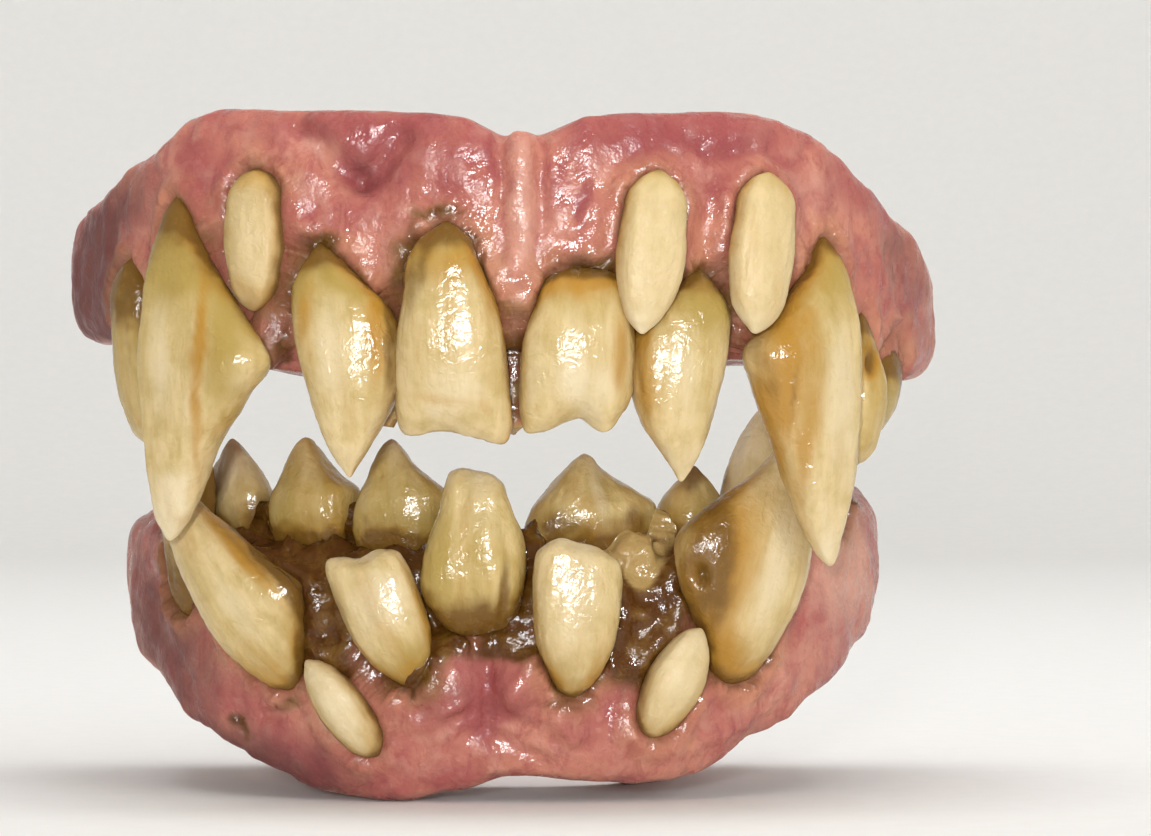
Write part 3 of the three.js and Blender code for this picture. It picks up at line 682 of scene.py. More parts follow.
class StageFinish(bpy.types.PropertyGroup):
    """Studio round the false teeth."""

    paper: colour_setting("Paper", "Colour of the sweep", (0.8, 0.79, 0.77))
    wall: length_setting("Wall", "Radius of the wall all round", 0.8, 0.1)
    key: power_setting("Key", "Power of the main light", 1.05)
    fill: power_setting("Fill", "Power of the side light", 1.0)
    glint: power_setting("Glint", "Power of the light in wet surfaces", 2.5)
    top: power_setting("Top", "Power of the light above", 0.4)
    back: power_setting("Back", "Power of the light on the wall", 3.2)


# Points, noise and places in the photograph

def smoothstep(low, high, value):
    """0 below the low value, 1 above the high one, and an eased step between them."""
    share = np.clip((value - low) / (high - low), 0.0, 1.0)
    return share * share * (3.0 - 2.0 * share)


def noise_at(points, kind, seed):
    """Smooth noise from -1 to 1 at points in millimetres, of a kind from the tables of noise."""
    stretch, size, step = kind
    seed += step
    shift = Vector([seed * way for way in SEED_SHIFT])
    return np.array([noise.noise(Vector(p) / size + shift) for p in points * (1, 1, stretch)])


def photo_pixels(points):
    """Pixels of the photograph for points in millimetres."""
    away = points - PHOTO_LENS
    across = PHOTO_SIZE[0] / 2 + away[:, 0] / away[:, 1] * PHOTO_FOCAL
    down = PHOTO_SIZE[1] / 2 - away[:, 2] / away[:, 1] * PHOTO_FOCAL
    return np.stack([across, down], 1)


def front_share(points, normals):
    """How far each point faces the photograph's lens, from 0 to 1."""
    away = points - PHOTO_LENS
    away /= np.linalg.norm(away, axis=1)[:, None]
    return smoothstep(*FACING_FADE, -(normals * away).sum(1))


def oval(pixels, mark):
    """Soft oval of a mark, 1 in its middle."""
    turn = math.radians(mark["turn"])
    dx, dy = pixels[:, 0] - mark["x"], pixels[:, 1] - mark["y"]
    u = (dx * math.cos(turn) + dy * math.sin(turn)) / mark["wide"]
    v = (dy * math.cos(turn) - dx * math.sin(turn)) / mark["tall"]
    return np.exp(-((u * u + v * v) ** MARK_EDGE))


def line_distance(pixels, line):
    """Distance in pixels from each place to a line of short straight runs."""
    best = np.full(len(pixels), np.inf)
    for start, end in zip(line[:-1], line[1:]):
        a, b = np.array(start, float), np.array(end, float)
        run = b - a
        share = np.clip(((pixels - a) @ run) / (run @ run), 0, 1)
        best = np.minimum(best, np.linalg.norm(pixels - a - share[:, None] * run, axis=1))
    return best


def add_masks(mesh, masks):
    """Stores named masks from 0 to 1 on a mesh."""
    for name, values in masks.items():
        attribute = mesh.attributes.new(name, "FLOAT", "POINT")
        attribute.data.foreach_set("value", np.clip(values, 0, 1).astype(np.float32))


def mesh_arrays(mesh):
    """Points in millimetres and unit normals of a mesh."""
    points = np.empty(len(mesh.vertices) * 3)
    mesh.vertices.foreach_get("co", points)
    normals = np.empty(len(mesh.vertices) * 3)
    mesh.vertex_normals.foreach_get("vector", normals)
    return points.reshape(-1, 3) / MM, normals.reshape(-1, 3)


def move_points(mesh, points):
    """Moves the points of a mesh to places in millimetres."""
    mesh.vertices.foreach_set("co", (points * MM).ravel())
    mesh.update()


def welded(node):
    """Mesh of a CAD node with its split corners joined."""
    shape = bmesh.new()
    shape.from_mesh(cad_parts[node].data)
    bmesh.ops.remove_doubles(shape, verts=shape.verts, dist=WELD)
    shape.verts.index_update()
    return shape


def place(mesh, material, node):
    """Puts a finished mesh in the scene, on the body of the node it stands for."""
    mesh.materials.clear()
    mesh.materials.append(material)
    piece = bpy.data.objects.new(mesh.name, mesh)
    bpy.context.scene.collection.objects.link(piece)
    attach(piece, PLATES[node.split("_")[0]])
    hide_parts(node)


# Shape of the fangs

def ring_order(layer):
    """The corners of one ring of a tooth, in order round it."""
    inside = set(layer)
    ring = [min(inside, key=lambda corner: corner.index)]
    while len(ring) < len(inside):
        near = [edge.other_vert(ring[-1]) for edge in ring[-1].link_edges]
        ring.append(next(corner for corner in near if corner in inside and corner not in ring))
    return np.array([corner.co for corner in ring]) / MM


def matched(ring, before):
    """The ring started and turned so that its corners follow those of the ring before."""
    want = before - before.mean(0)
    best = None
    for way in (ring, ring[::-1]):
        for start in range(len(ring)):
            turned = np.roll(way, start, 0)
            miss = ((turned - turned.mean(0) - want) ** 2).sum()
            if best is None or miss < best[0]:
                best = (miss, turned)
    return best[1]


def tooth_rows(node):
    """Rings of a CAD tooth from its root to its tip, each end repeated as a ring of one point."""
    shape = welded(node)
    ends = sorted((c for c in shape.verts if len(c.link_edges) == TOOTH_SIDES), key=lambda c: c.co.z)
    root, tip = ends if node.startswith("lower") else ends[::-1]
    rows = [np.tile(np.array(root.co) / MM, (TOOTH_SIDES, 1))]
    seen = {root}
    layer = {edge.other_vert(root) for edge in root.link_edges}
    while tip not in layer:
        ring = ring_order(layer)
        rows.append(matched(ring, rows[-1]) if len(rows) > 1 else ring)
        seen |= layer
        layer = {edge.other_vert(c) for c in layer for edge in c.link_edges} - seen
    rows.append(np.tile(np.array(tip.co) / MM, (TOOTH_SIDES, 1)))
    shape.free()
    return np.array(rows)


def finer_round(rows, count):
    """The rows with more points round each ring, on closed smooth curves."""
    sides = rows.shape[1]
    at = np.arange(count) * sides / count
    first = at.astype(int)
    t = (at - first)[None, :, None]
    before, here, after, beyond = (rows[:, (first + step) % sides] for step in (-1, 0, 1, 2))
    return 0.5 * (
        2 * here + (after - before) * t + (2 * before - 5 * here + 4 * after - beyond) * t**2
        + (3 * here - before - 3 * after + beyond) * t**3
    )


def finer_along(rows, count):
    """The rows with more rings along the tooth, on smooth curves that run over both ends."""
    half = rows.shape[1] // 2
    over = np.concatenate([np.roll(rows[1:2], half, 1), rows, np.roll(rows[-2:-1], half, 1)])
    gaps = np.linalg.norm(np.diff(over, axis=0), axis=2).mean(1)
    places = np.concatenate([[0.0], np.cumsum(gaps)])
    slope = np.gradient(over, places, axis=0)
    at = np.linspace(places[1], places[-2], count)
    i = np.clip(np.searchsorted(places, at, side="right") - 1, 1, len(places) - 3)
    step = (places[i + 1] - places[i])[:, None, None]
    t = ((at - places[i])[:, None, None]) / step
    return (
        (2 * t**3 - 3 * t**2 + 1) * over[i] + (t**3 - 2 * t**2 + t) * step * slope[i]
        + (3 * t**2 - 2 * t**3) * over[i + 1] + (t**3 - t**2) * step * slope[i + 1]
    )


def tooth_mesh(node):
    """Smooth mesh of a tooth, each point's share of the length, and its own coordinates along the tooth."""
    rows = tooth_rows(node)
    length = np.linalg.norm(rows[-1, 0] - rows[0, 0])
    count = max(TOOTH_ROWS_LEAST, int(length * TOOTH_ROWS_PER_MM))
    rows = finer_along(finer_round(rows, TOOTH_ROUND), count)
    inner = rows[1:-1]
    points = np.concatenate([rows[0, :1], inner.reshape(-1, 3), rows[-1, :1]])
    last = len(points) - 1
    faces = []
    for side in range(TOOTH_ROUND):
        after = (side + 1) % TOOTH_ROUND
        faces.append((0, 1 + after, 1 + side))
        faces.append((last, last - TOOTH_ROUND + side, last - TOOTH_ROUND + after))
        for row in range(len(inner) - 1):
            a, b = 1 + row * TOOTH_ROUND + side, 1 + row * TOOTH_ROUND + after
            faces.append((a, b, b + TOOTH_ROUND, a + TOOTH_ROUND))
    mesh = bpy.data.meshes.new(node + "_enamel")
    mesh.from_pydata((points * MM).tolist(), [], faces)
    shape = bmesh.new()
    shape.from_mesh(mesh)
    bmesh.ops.recalc_face_normals(shape, faces=shape.faces)
    shape.to_mesh(mesh)
    shape.free()
    mesh.shade_smooth()
    along = np.linspace(0, 1, count)
    share = np.concatenate([along[:1], np.repeat(along[1:-1], TOOTH_ROUND), along[-1:]])
    axis = (rows[-1, 0] - rows[0, 0]) / length
    outward = points.mean(0) - np.array([*ARCH_CENTRE, points.mean(0)[2]])
    outward -= axis * (outward @ axis)
    outward /= np.linalg.norm(outward)
    basis = np.stack([np.cross(axis, outward), outward, axis])
    return mesh, share, (points - rows[0, 0]) @ basis.T


def outward_of(own, points):
    """Outward side of a tooth in the row frame, from its own coordinates."""
    turn, *_ = np.linalg.lstsq(own - own.mean(0), points - points.mean(0), rcond=None)
    return turn[1] / np.linalg.norm(turn[1])


def blunter(points, share, outward, tooth):
    """Moves that widen the ends and the middle of a tooth, and press a peg flatter."""
    middle = np.empty_like(points)
    for level in np.unique(share):
        ring = share == level
        middle[ring] = points[ring].mean(0)
    spread = points - middle
    wider = np.zeros(len(points))
    for column, at, half in TOOTH_WIDENING:
        wider += tooth[column] * np.exp(-(((share - at) / half) ** 2))
    proud = np.clip(spread @ outward, 0, None) * (PEG_PRESS if tooth["finish"] == "cream" else 0.0)
    return spread * wider[:, None] - outward * proud[:, None]


def sunk_root(share, outward, tooth):
    """Moves that press the root of a tooth into the gum."""
    inward = np.array([0.0, 1.0, 0.0]) - outward
    inward /= np.linalg.norm(inward)
    end = PEG_SUNK if tooth["finish"] == "cream" else FANG_SUNK
    return inward * (tooth["sunk"] * (1 - smoothstep(0.0, end, share)))[:, None]


def build_tooth(tooth, finish, material, gums):
    """Makes one stained fang in place of its CAD node, dirty where it leaves the gum."""
    node = tooth["name"]
    seed = TEETH.index(tooth) + 1
    mesh, share, own = tooth_mesh(node)
    points, normals = mesh_arrays(mesh)
    outward = outward_of(own, points)
    points = points + blunter(points, share, outward, tooth)
    points = points + sunk_root(share, outward, tooth)
    grown = {kind: noise_at(own, FANG_NOISE[kind], seed) for kind in FANG_NOISE}
    lumps = grown["lumps"] * (OLIVE_LUMPS if tooth["finish"] == "olive" else 1.0)
    dents = np.clip(grown["dents"] - DENT_LEVEL, 0, 1)
    height = finish.grain / MM * grown["grain"] + finish.lumps / MM * lumps + FINE_BUMPS * grown["fine"]
    height -= tooth["pits"] * DENT_DEPTH * dents
    pixels = photo_pixels(points)
    facing = front_share(points, normals)
    for pit in TOOTH_PITS.get(node, ()):
        height -= pit["deep"] * oval(pixels, pit) * facing
    fade = smoothstep(*ROOT_FADE, share) * (1 - TIP_LOSS * smoothstep(*TIP_FADE, share))
    move_points(mesh, points + normals * (height * fade)[:, None])
    _, gap, _ = nearest_on(gums, points)
    masks = tooth_stains(tooth, share, normals @ outward, gap, grown, dents)
    wobble = np.stack([grown["across"], grown["down"]], 1) * FANG_WOBBLE
    for mark in TOOTH_MARKS.get(node, ()):
        masks[mark["mask"]] += mark["amount"] * oval(pixels + wobble, mark) * facing
    add_masks(mesh, masks)
    attribute = mesh.attributes.new("grown", "FLOAT_VECTOR", "POINT")
    attribute.data.foreach_set("vector", own.astype(np.float32).ravel())
    place(mesh, material, node)


def tooth_stains(tooth, share, front, gap, grown, dents):
    """Masks of the stains and the painted shade on a tooth, from its length, its front, its distance to the
    gum and its noise.
    """
    masks = {name: np.zeros(len(share)) for name in TOOTH_MASKS}
    streak = 0.5 + 0.5 * grown["streak"]
    ragged = share + ROOT_STREAK * (streak - 0.5)
    reach = tooth["reach"]
    masks["brown"] += tooth["root"] * (1 - smoothstep(0.0, reach, ragged))
    halo = 1 - smoothstep(reach * HALO_FADE[0], reach * HALO_FADE[1], ragged)
    masks["olive"] += tooth["root"] * halo * HALO
    # Brown and amber on the flanks, where the surface turns from the front: dirt between the fangs, and
    # painted shade.
    flank = 1 - smoothstep(*FLANK_FADE, front)
    flank = tooth["sides"] * flank * (FLANK_LEAST + (1 - FLANK_LEAST) * streak)
    masks["brown"] += FLANK_BROWN * flank * (1 - FLANK_LOSS * share)
    masks["amber"] += FLANK_AMBER * flank
    gap = gap + TIDE_RAGGED * grown["tide"] + TIDE_STREAK * (streak - 0.5)
    for mask, amount, near, far in FANG_DIRT:
        masks[mask] += amount * (1 - smoothstep(near, far, gap))
    masks["amber"] += BAND_AMBER * smoothstep(*BAND_AMBER_FADE, grown["bands"])
    masks["pale"] += BAND_PALE * smoothstep(*BAND_PALE_FADE, -grown["bands"])
    if tooth["finish"] == "olive" or tooth["grime"] >= 1:
        edge = gap + TARTAR_RAGGED * grown["tartar"]
        masks["brown"] += TARTAR * (1 - smoothstep(*TARTAR_FADE, edge))
    masks["olive"] += tooth["olive"] * (0.6 + 0.8 * (streak - 0.3))
    masks["amber"] += tooth["amber"] * (0.5 + streak) + DENT_AMBER * dents
    masks["pale"] += WORN_TIP * smoothstep(*WORN_TIP_FADE, share) * (1 - tooth["olive"])
    return masks


# Shape of the gums

def gum_mesh(node, voxel):
    """Even fine mesh of a CAD gum plate and the lumps on it."""
    shape = welded(node)
    for blob in GUM_BLOBS.get(node, ()):
        where = Matrix.Translation(Vector(blob["middle"]) * MM) @ Matrix.Diagonal((*blob["half"], 1.0))
        bmesh.ops.create_uvsphere(
            shape, u_segments=BLOB_ROUND, v_segments=BLOB_ROUND, radius=MM, matrix=where)
    rough = bpy.data.meshes.new(node + "_rough")
    shape.to_mesh(rough)
    shape.free()
    carrier = bpy.data.objects.new(node + "_rough", rough)
    bpy.context.scene.collection.objects.link(carrier)
    remesh = carrier.modifiers.new("even", "REMESH")
    remesh.mode = "VOXEL"
    remesh.voxel_size = voxel
    graph = bpy.context.evaluated_depsgraph_get()
    mesh = bpy.data.meshes.new_from_object(carrier.evaluated_get(graph))
    bpy.data.objects.remove(carrier)
    bpy.data.meshes.remove(rough)
    mesh.name = node + "_acrylic"
    mesh.shade_smooth()
    return mesh


def eased(mesh, points, weight):
    """Points eased towards their neighbours and back, which rounds edges and keeps the bulk."""
    edges = np.empty(len(mesh.edges) * 2, int)
    mesh.edges.foreach_get("vertices", edges)
    a, b = edges.reshape(-1, 2).T
    total = len(points)
    count = np.bincount(a, minlength=total) + np.bincount(b, minlength=total)
    for _ in range(EASE_ROUNDS):
        for pull in (EASE_PULL, EASE_PUSH):
            around = [
                np.bincount(a, points[b, k], total) + np.bincount(b, points[a, k], total) for k in range(3)]
            points = points + pull * weight[:, None] * (np.stack(around, 1) / count[:, None] - points)
    return points


def gum_surface(plate):
    """Search tree over the CAD gum of a plate, in millimetres."""
    shape = welded(plate + "_gum")
    corners = [tuple(corner.co / MM) for corner in shape.verts]
    faces = [tuple(corner.index for corner in face.verts) for face in shape.faces]
    shape.free()
    return BVHTree.FromPolygons(corners, faces)


def fang_surface(plate):
    """Search tree over all the fangs of a plate, in millimetres, and the grime of the fang at each face."""
    corners, faces, grime = [], [], []
    for tooth in TEETH:
        if tooth["name"].startswith(plate):
            mesh = bpy.data.objects[tooth["name"] + "_enamel"].data
            points, _ = mesh_arrays(mesh)
            faces += [tuple(i + len(corners) for i in polygon.vertices) for polygon in mesh.polygons]
            corners += points.tolist()
            grime += [tooth["grime"]] * len(mesh.polygons)
    return BVHTree.FromPolygons(corners, faces), np.array(grime)


def nearest_on(tree, points):
    """Nearest place on a searched surface for each point, its distance in millimetres and its face."""
    near = np.empty_like(points)
    gap = np.empty(len(points))
    face = np.empty(len(points), int)
    for i, point in enumerate(points):
        near[i], _, face[i], gap[i] = tree.find_nearest(Vector(point))
    return near, gap, face


def outer_share(points):
    """1 on the outer face of a plate and 0 further in than its wall."""
    away = points[:, :2] - ARCH_CENTRE
    radius = np.linalg.norm(away, axis=1)
    turn = np.arctan2(away[:, 1], away[:, 0]) / (2 * math.pi) + 0.5
    slot = np.minimum((turn * OUTER_SLOTS).astype(int), OUTER_SLOTS - 1)
    level = ((points[:, 2] - points[:, 2].min()) / OUTER_LEVEL).astype(int)
    outer = np.zeros((OUTER_SLOTS, level.max() + 1))
    np.maximum.at(outer, (slot, level), radius)
    return 1 - smoothstep(*OUTER_FADE, outer[slot, level] - radius)


def closed_gum(mesh, tree):
    """Points of a gum eased and drawn to the fangs, and the normals of the eased gum."""
    points, _ = mesh_arrays(mesh)
    _, gap, _ = nearest_on(tree, points)
    weight = EASE_LEAST + (1 - EASE_LEAST) * smoothstep(*EASE_FADE, gap)
    move_points(mesh, eased(mesh, points, weight))
    points, normals = mesh_arrays(mesh)
    near, gap, _ = nearest_on(tree, points)
    closing = np.clip(gap - CLOSE_LEFT, 0, CLOSE_MOST) * (1 - smoothstep(*CLOSE_FADE, gap))
    return points + (near - points) / np.maximum(gap, TINY)[:, None] * closing[:, None], normals


def build_gum(plate, finish, material):
    """Makes one gum plate in place of its CAD node, closed round the fangs."""
    node = plate + "_gum"
    seed = GUM_SEEDS[plate]
    mesh = gum_mesh(node, finish.voxel)
    tree, grime = fang_surface(plate)
    points, normals = closed_gum(mesh, tree)
    _, gap, face = nearest_on(tree, points)
    grime = grime[face]
    outer = outer_share(points)
    facing = front_share(points, normals) * outer
    away = points[:, :2] - ARCH_CENTRE
    away /= np.linalg.norm(away, axis=1)[:, None]
    outside = smoothstep(*OUTSIDE_FADE, (normals[:, :2] * away).sum(1)) * outer
    biting = smoothstep(*BITING_FADE, normals[:, 2] if plate == "lower" else -normals[:, 2])
    rolled = np.maximum(smoothstep(*ROLLED_FADE, outside + facing - ROLLED_LESS) * outer, biting)
    torn = 1 + CUFF_TORN * grime * noise_at(points, GUM_NOISE["torn"], seed)
    cuff = finish.cuff / MM * np.exp(-(((gap - CUFF_MIDDLE) / CUFF_HALF) ** 2)) * rolled * torn
    bumps = BUMPS_SHARE * noise_at(points, GUM_NOISE["bumps"], seed)
    lumps = finish.lumps / MM * (noise_at(points, GUM_NOISE["swelling"], seed) + bumps)
    ripple = RIPPLE_HIGH * noise_at(points, GUM_NOISE["ripple"], seed)
    ripple = ripple + THREADS_HIGH * noise_at(points, GUM_NOISE["threads"], seed)
    shown = SHOWN_LEAST + (1 - SHOWN_LEAST) * outside
    pixels = photo_pixels(points)
    wobble = np.stack([noise_at(points, GUM_NOISE[way], seed) for way in ("across", "down")], 1) * GUM_WOBBLE
    masks = {name: np.zeros(len(points)) for name in GUM_MASKS}
    for mark in GUM_MARKS.get(node, ()):
        masks[mark["mask"]] += mark["amount"] * oval(pixels + wobble, mark) * facing
    if plate == "lower":
        masks["tar"] += BITE_DIRT * biting * (1 - smoothstep(*BITE_FADE, gap))
    for blob in GUM_BLOBS.get(node, ()):
        reach = np.linalg.norm((points - np.array(blob["middle"])) / np.array(blob["half"]), axis=1)
        masks[blob["crust"]] += blob["amount"] * (1 - smoothstep(*BLOB_FADE, reach))
    wet = 1 - smoothstep(*WET_FADE, gap)
    height = cuff + (lumps + ripple * (1 + wet)) * shown * smoothstep(*RELIEF_FADE, gap)
    height += CRUST_HIGH * noise_at(points, GUM_NOISE["crust"], seed) * np.clip(masks["tar"], 0, 1)
    for fold in GUM_FOLDS.get(node, ()):
        reach = line_distance(pixels + wobble * FOLD_WOBBLE, fold["line"]) * PHOTO_MM / fold["width"]
        height += fold["height"] * np.exp(-(reach**3)) * facing
    points = points + normals * height[:, None]
    points[:, 2] = np.maximum(points[:, 2], 0.0)
    move_points(mesh, points)
    open_side = np.maximum(outer, biting)
    spread = gap + BESIDE_RAGGED * noise_at(points, GUM_NOISE["beside"], seed)
    stain = BESIDE_LEAST + (1 - BESIDE_LEAST) * grime
    masks["beside"] = (1 - smoothstep(*BESIDE_FADE, spread)) * stain * open_side
    spread = gap + MARGIN_RAGGED * noise_at(points, GUM_NOISE["margin"], seed)
    masks["margin"] = open_side * grime * (1 - smoothstep(*MARGIN_FADE, spread))
    add_masks(mesh, masks)
    place(mesh, material, node)


# Materials

def fill(tree, node, values):
    """Sets inputs of a node to values, or links them from other sockets."""
    for name, value in values.items():
        if isinstance(value, bpy.types.NodeSocket):
            tree.links.new(value, node.inputs[name])
        else:
            node.inputs[name].default_value = value


def add_node(tree, kind, inputs=(), **settings):
    """A shader node with its settings and its inputs."""
    node = tree.nodes.new(kind)
    for name, value in settings.items():
        setattr(node, name, value)
    fill(tree, node, dict(inputs))
    return node


def colour_mix(tree, share, first, second):
    """Colour between two others by a mask."""
    inputs = {MIX_SHARE: share, MIX_FIRST: first, MIX_SECOND: second}
    return add_node(tree, "ShaderNodeMix", inputs, data_type="RGBA").outputs[MIX_RESULT]


def sums(tree, operation, first, second):
    """Result of one sum on two values."""
    return add_node(tree, "ShaderNodeMath", {0: first, 1: second}, operation=operation).outputs[0]


def scaled(tree, value, by):
    """A value made larger or smaller."""
    return sums(tree, "MULTIPLY", value, by)


def weighed(tree, first, first_share, second, second_share):
    """Two values added by their shares."""
    return sums(tree, "ADD", scaled(tree, first, first_share), scaled(tree, second, second_share))


def ranged(tree, value, low, high, least=0.0, most=1.0, **settings):
    """A value mapped from low and high to least and most, and held there."""
    bounds = {"From Min": low, "From Max": high, "To Min": least, "To Max": most}
    return add_node(tree, "ShaderNodeMapRange", {"Value": value, **bounds}, **settings).outputs["Result"]


def noise_texture(tree, where, scale, **values):
    """Smooth noise over a surface."""
    inputs = {"Vector": where, "Scale": scale, **values}
    return add_node(tree, "ShaderNodeTexNoise", inputs).outputs["Fac"]


def stretched(tree, where, along):
    """Texture coordinate drawn out along Z."""
    factors = (1.0, 1.0, along)
    return add_node(tree, "ShaderNodeVectorMath", {0: where, 1: factors}, operation="MULTIPLY").outputs[0]


def bumped(tree, relief, strength, height):
    """Normal of a surface with a fine relief."""
    inputs = {"Height": relief, "Strength": strength, "Distance": height}
    return add_node(tree, "ShaderNodeBump", inputs).outputs["Normal"]


def mask_of(tree, name):
    """A mask that is stored on the mesh."""
    return add_node(tree, "ShaderNodeAttribute", attribute_name=name).outputs["Fac"]


def new_group(name, inputs, outputs):
    """Empty shader node group with named sockets; returns its tree, its input node and its output node."""
    tree = bpy.data.node_groups.new(name, "ShaderNodeTree")
    for label, kind in inputs:
        tree.interface.new_socket(label, in_out="INPUT", socket_type=kind)
    for label, kind in outputs:
        tree.interface.new_socket(label, in_out="OUTPUT", socket_type=kind)
    return tree, tree.nodes.new("NodeGroupInput").outputs, tree.nodes.new("NodeGroupOutput")


def ragged_mask_group():
    """Breaks up the edge of a mask with noise."""
    tree, entry, result = new_group(
        "Ragged mask",
        (("Mask", "NodeSocketFloat"), ("Noise", "NodeSocketFloat"), ("Break", "NodeSocketFloat")),
        (("Mask", "NodeSocketFloat"),),
    )
    push = sums(tree, "MULTIPLY", sums(tree, "SUBTRACT", entry["Noise"], 0.5), entry["Break"])
    inside = sums(tree, "MINIMUM", scaled(tree, entry["Mask"], 3.0), 1.0)
    moved = sums(tree, "ADD", entry["Mask"], sums(tree, "MULTIPLY", push, inside))
    fill(tree, result, {"Mask": ranged(tree, moved, 0.04, 0.92, interpolation_type="SMOOTHSTEP")})
    return tree


def speckle_group():
    """Fine dark specks, soft mottling and fine noise over a surface, from a texture coordinate."""
    tree, entry, result = new_group(
        "Speckle",
        (("Vector", "NodeSocketVector"), ("Scale", "NodeSocketFloat")),
        (("Specks", "NodeSocketFloat"), ("Mottle", "NodeSocketFloat"), ("Fine", "NodeSocketFloat")),
    )
    where, scale = entry["Vector"], entry["Scale"]
    dots = noise_texture(tree, where, scale, Detail=3.0, Roughness=0.65)
    fill(tree, result, {
        "Specks": ranged(tree, dots, 0.58, 0.74),
        "Mottle": noise_texture(tree, where, scaled(tree, scale, 0.22), Detail=4.0),
        "Fine": noise_texture(tree, where, scaled(tree, scale, 2.6), Detail=2.0),
    })
    return tree


def group_node(tree, name, maker, inputs):
    """Outputs of a shared node group placed in a material; the group is made at its first use."""
    group = bpy.data.node_groups.get(name) or maker()
    return add_node(tree, "ShaderNodeGroup", inputs, node_tree=group).outputs


def speckles(tree, where, scale):
    return group_node(tree, "Speckle", speckle_group, {"Vector": where, "Scale": scale})


def ragged_mask(tree, mask, texture, broken):
    inputs = {"Mask": mask_of(tree, mask), "Noise": texture, "Break": broken}
    return group_node(tree, "Ragged mask", ragged_mask_group, inputs)["Mask"]


def rgba(colour):
    """A colour with its full opacity."""
    return (*colour, 1.0)


def new_material(name):
    """Material with an empty surface; returns it, its tree and its shader."""
    material = bpy.data.materials.new(name)
    material.use_nodes = True
    tree = material.node_tree
    tree.nodes.clear()
    shader = tree.nodes.new("ShaderNodeBsdfPrincipled")
    result = tree.nodes.new("ShaderNodeOutputMaterial")
    tree.links.new(shader.outputs["BSDF"], result.inputs["Surface"])
    return material, tree, shader


def enamel_material(enamel, finish):
    """Enamel with lengthwise grain, as strong as its streaks, and layers of stain, painted shade and painted
    light.
    """
    material, tree, shader = new_material(enamel["finish"] + "_enamel")
    base = getattr(finish, enamel["colour"])
    roughness = finish.roughness * enamel["rough"]
    streaks = enamel["streaks"]
    pale, olive, amber = rgba(finish.pale), rgba(finish.olive), rgba(finish.amber)
    own = add_node(tree, "ShaderNodeAttribute", attribute_name="grown").outputs["Vector"]
    lengthwise = stretched(tree, own, ENAMEL_STRETCH)
    spots = speckles(tree, own, SPOTS_SCALE)
    lines = speckles(tree, lengthwise, LINES_SCALE)
    fibres = speckles(tree, lengthwise, FIBRES_SCALE)
    woven = scaled(tree, sums(tree, "ADD", lines["Mottle"], fibres["Mottle"]), 0.5)
    colour = colour_mix(tree, scaled(tree, spots["Mottle"], 0.45), rgba(base), pale)
    faint = ranged(tree, woven, 0.44, 0.66, most=0.6 * streaks)
    colour = colour_mix(tree, faint, colour, olive)
    blotch = ranged(tree, spots["Mottle"], 0.34, 0.52, 0.5 * streaks, 0.0)
    colour = colour_mix(tree, blotch, colour, olive)
    colour = colour_mix(tree, scaled(tree, lines["Specks"], 0.4 * streaks), colour, amber)
    uneven = weighed(tree, lines["Mottle"], 0.5, spots["Mottle"], 0.5)
    # Besides their stains, the amber and brown layers paint shade on the flanks, and the pale layer paints
    # light on two lower fangs.
    layers = (
        ("pale", pale, 0.5),
        ("olive", olive, 0.9),
        ("amber", amber, 0.9),
        ("brown", rgba(finish.brown), 1.6),
    )
    for mask, tint, broken in layers:
        share = ragged_mask(tree, mask, uneven, broken)
        colour = colour_mix(tree, scaled(tree, share, STAIN_MOST), colour, tint)
    colour = colour_mix(tree, scaled(tree, spots["Specks"], 0.2 * streaks), colour, olive)
    creased = noise_texture(tree, own, CREASES_SCALE, Detail=2.0, Distortion=0.8)
    fill(tree, shader, {
        "Base Color": colour,
        "Roughness": ranged(tree, spots["Fine"], 0.3, 0.7, roughness * 0.7, roughness * 1.35),
        "Normal": bumped(tree, weighed(tree, woven, 0.8, creased, 0.6), 0.8, 0.2 * MM),
        "Specular IOR Level": 0.36,
        "Subsurface Weight": 0.12,
        "Subsurface Radius": (1.0, 0.6, 0.3),
        "Subsurface Scale": 1.2 * MM,
    })
    return material


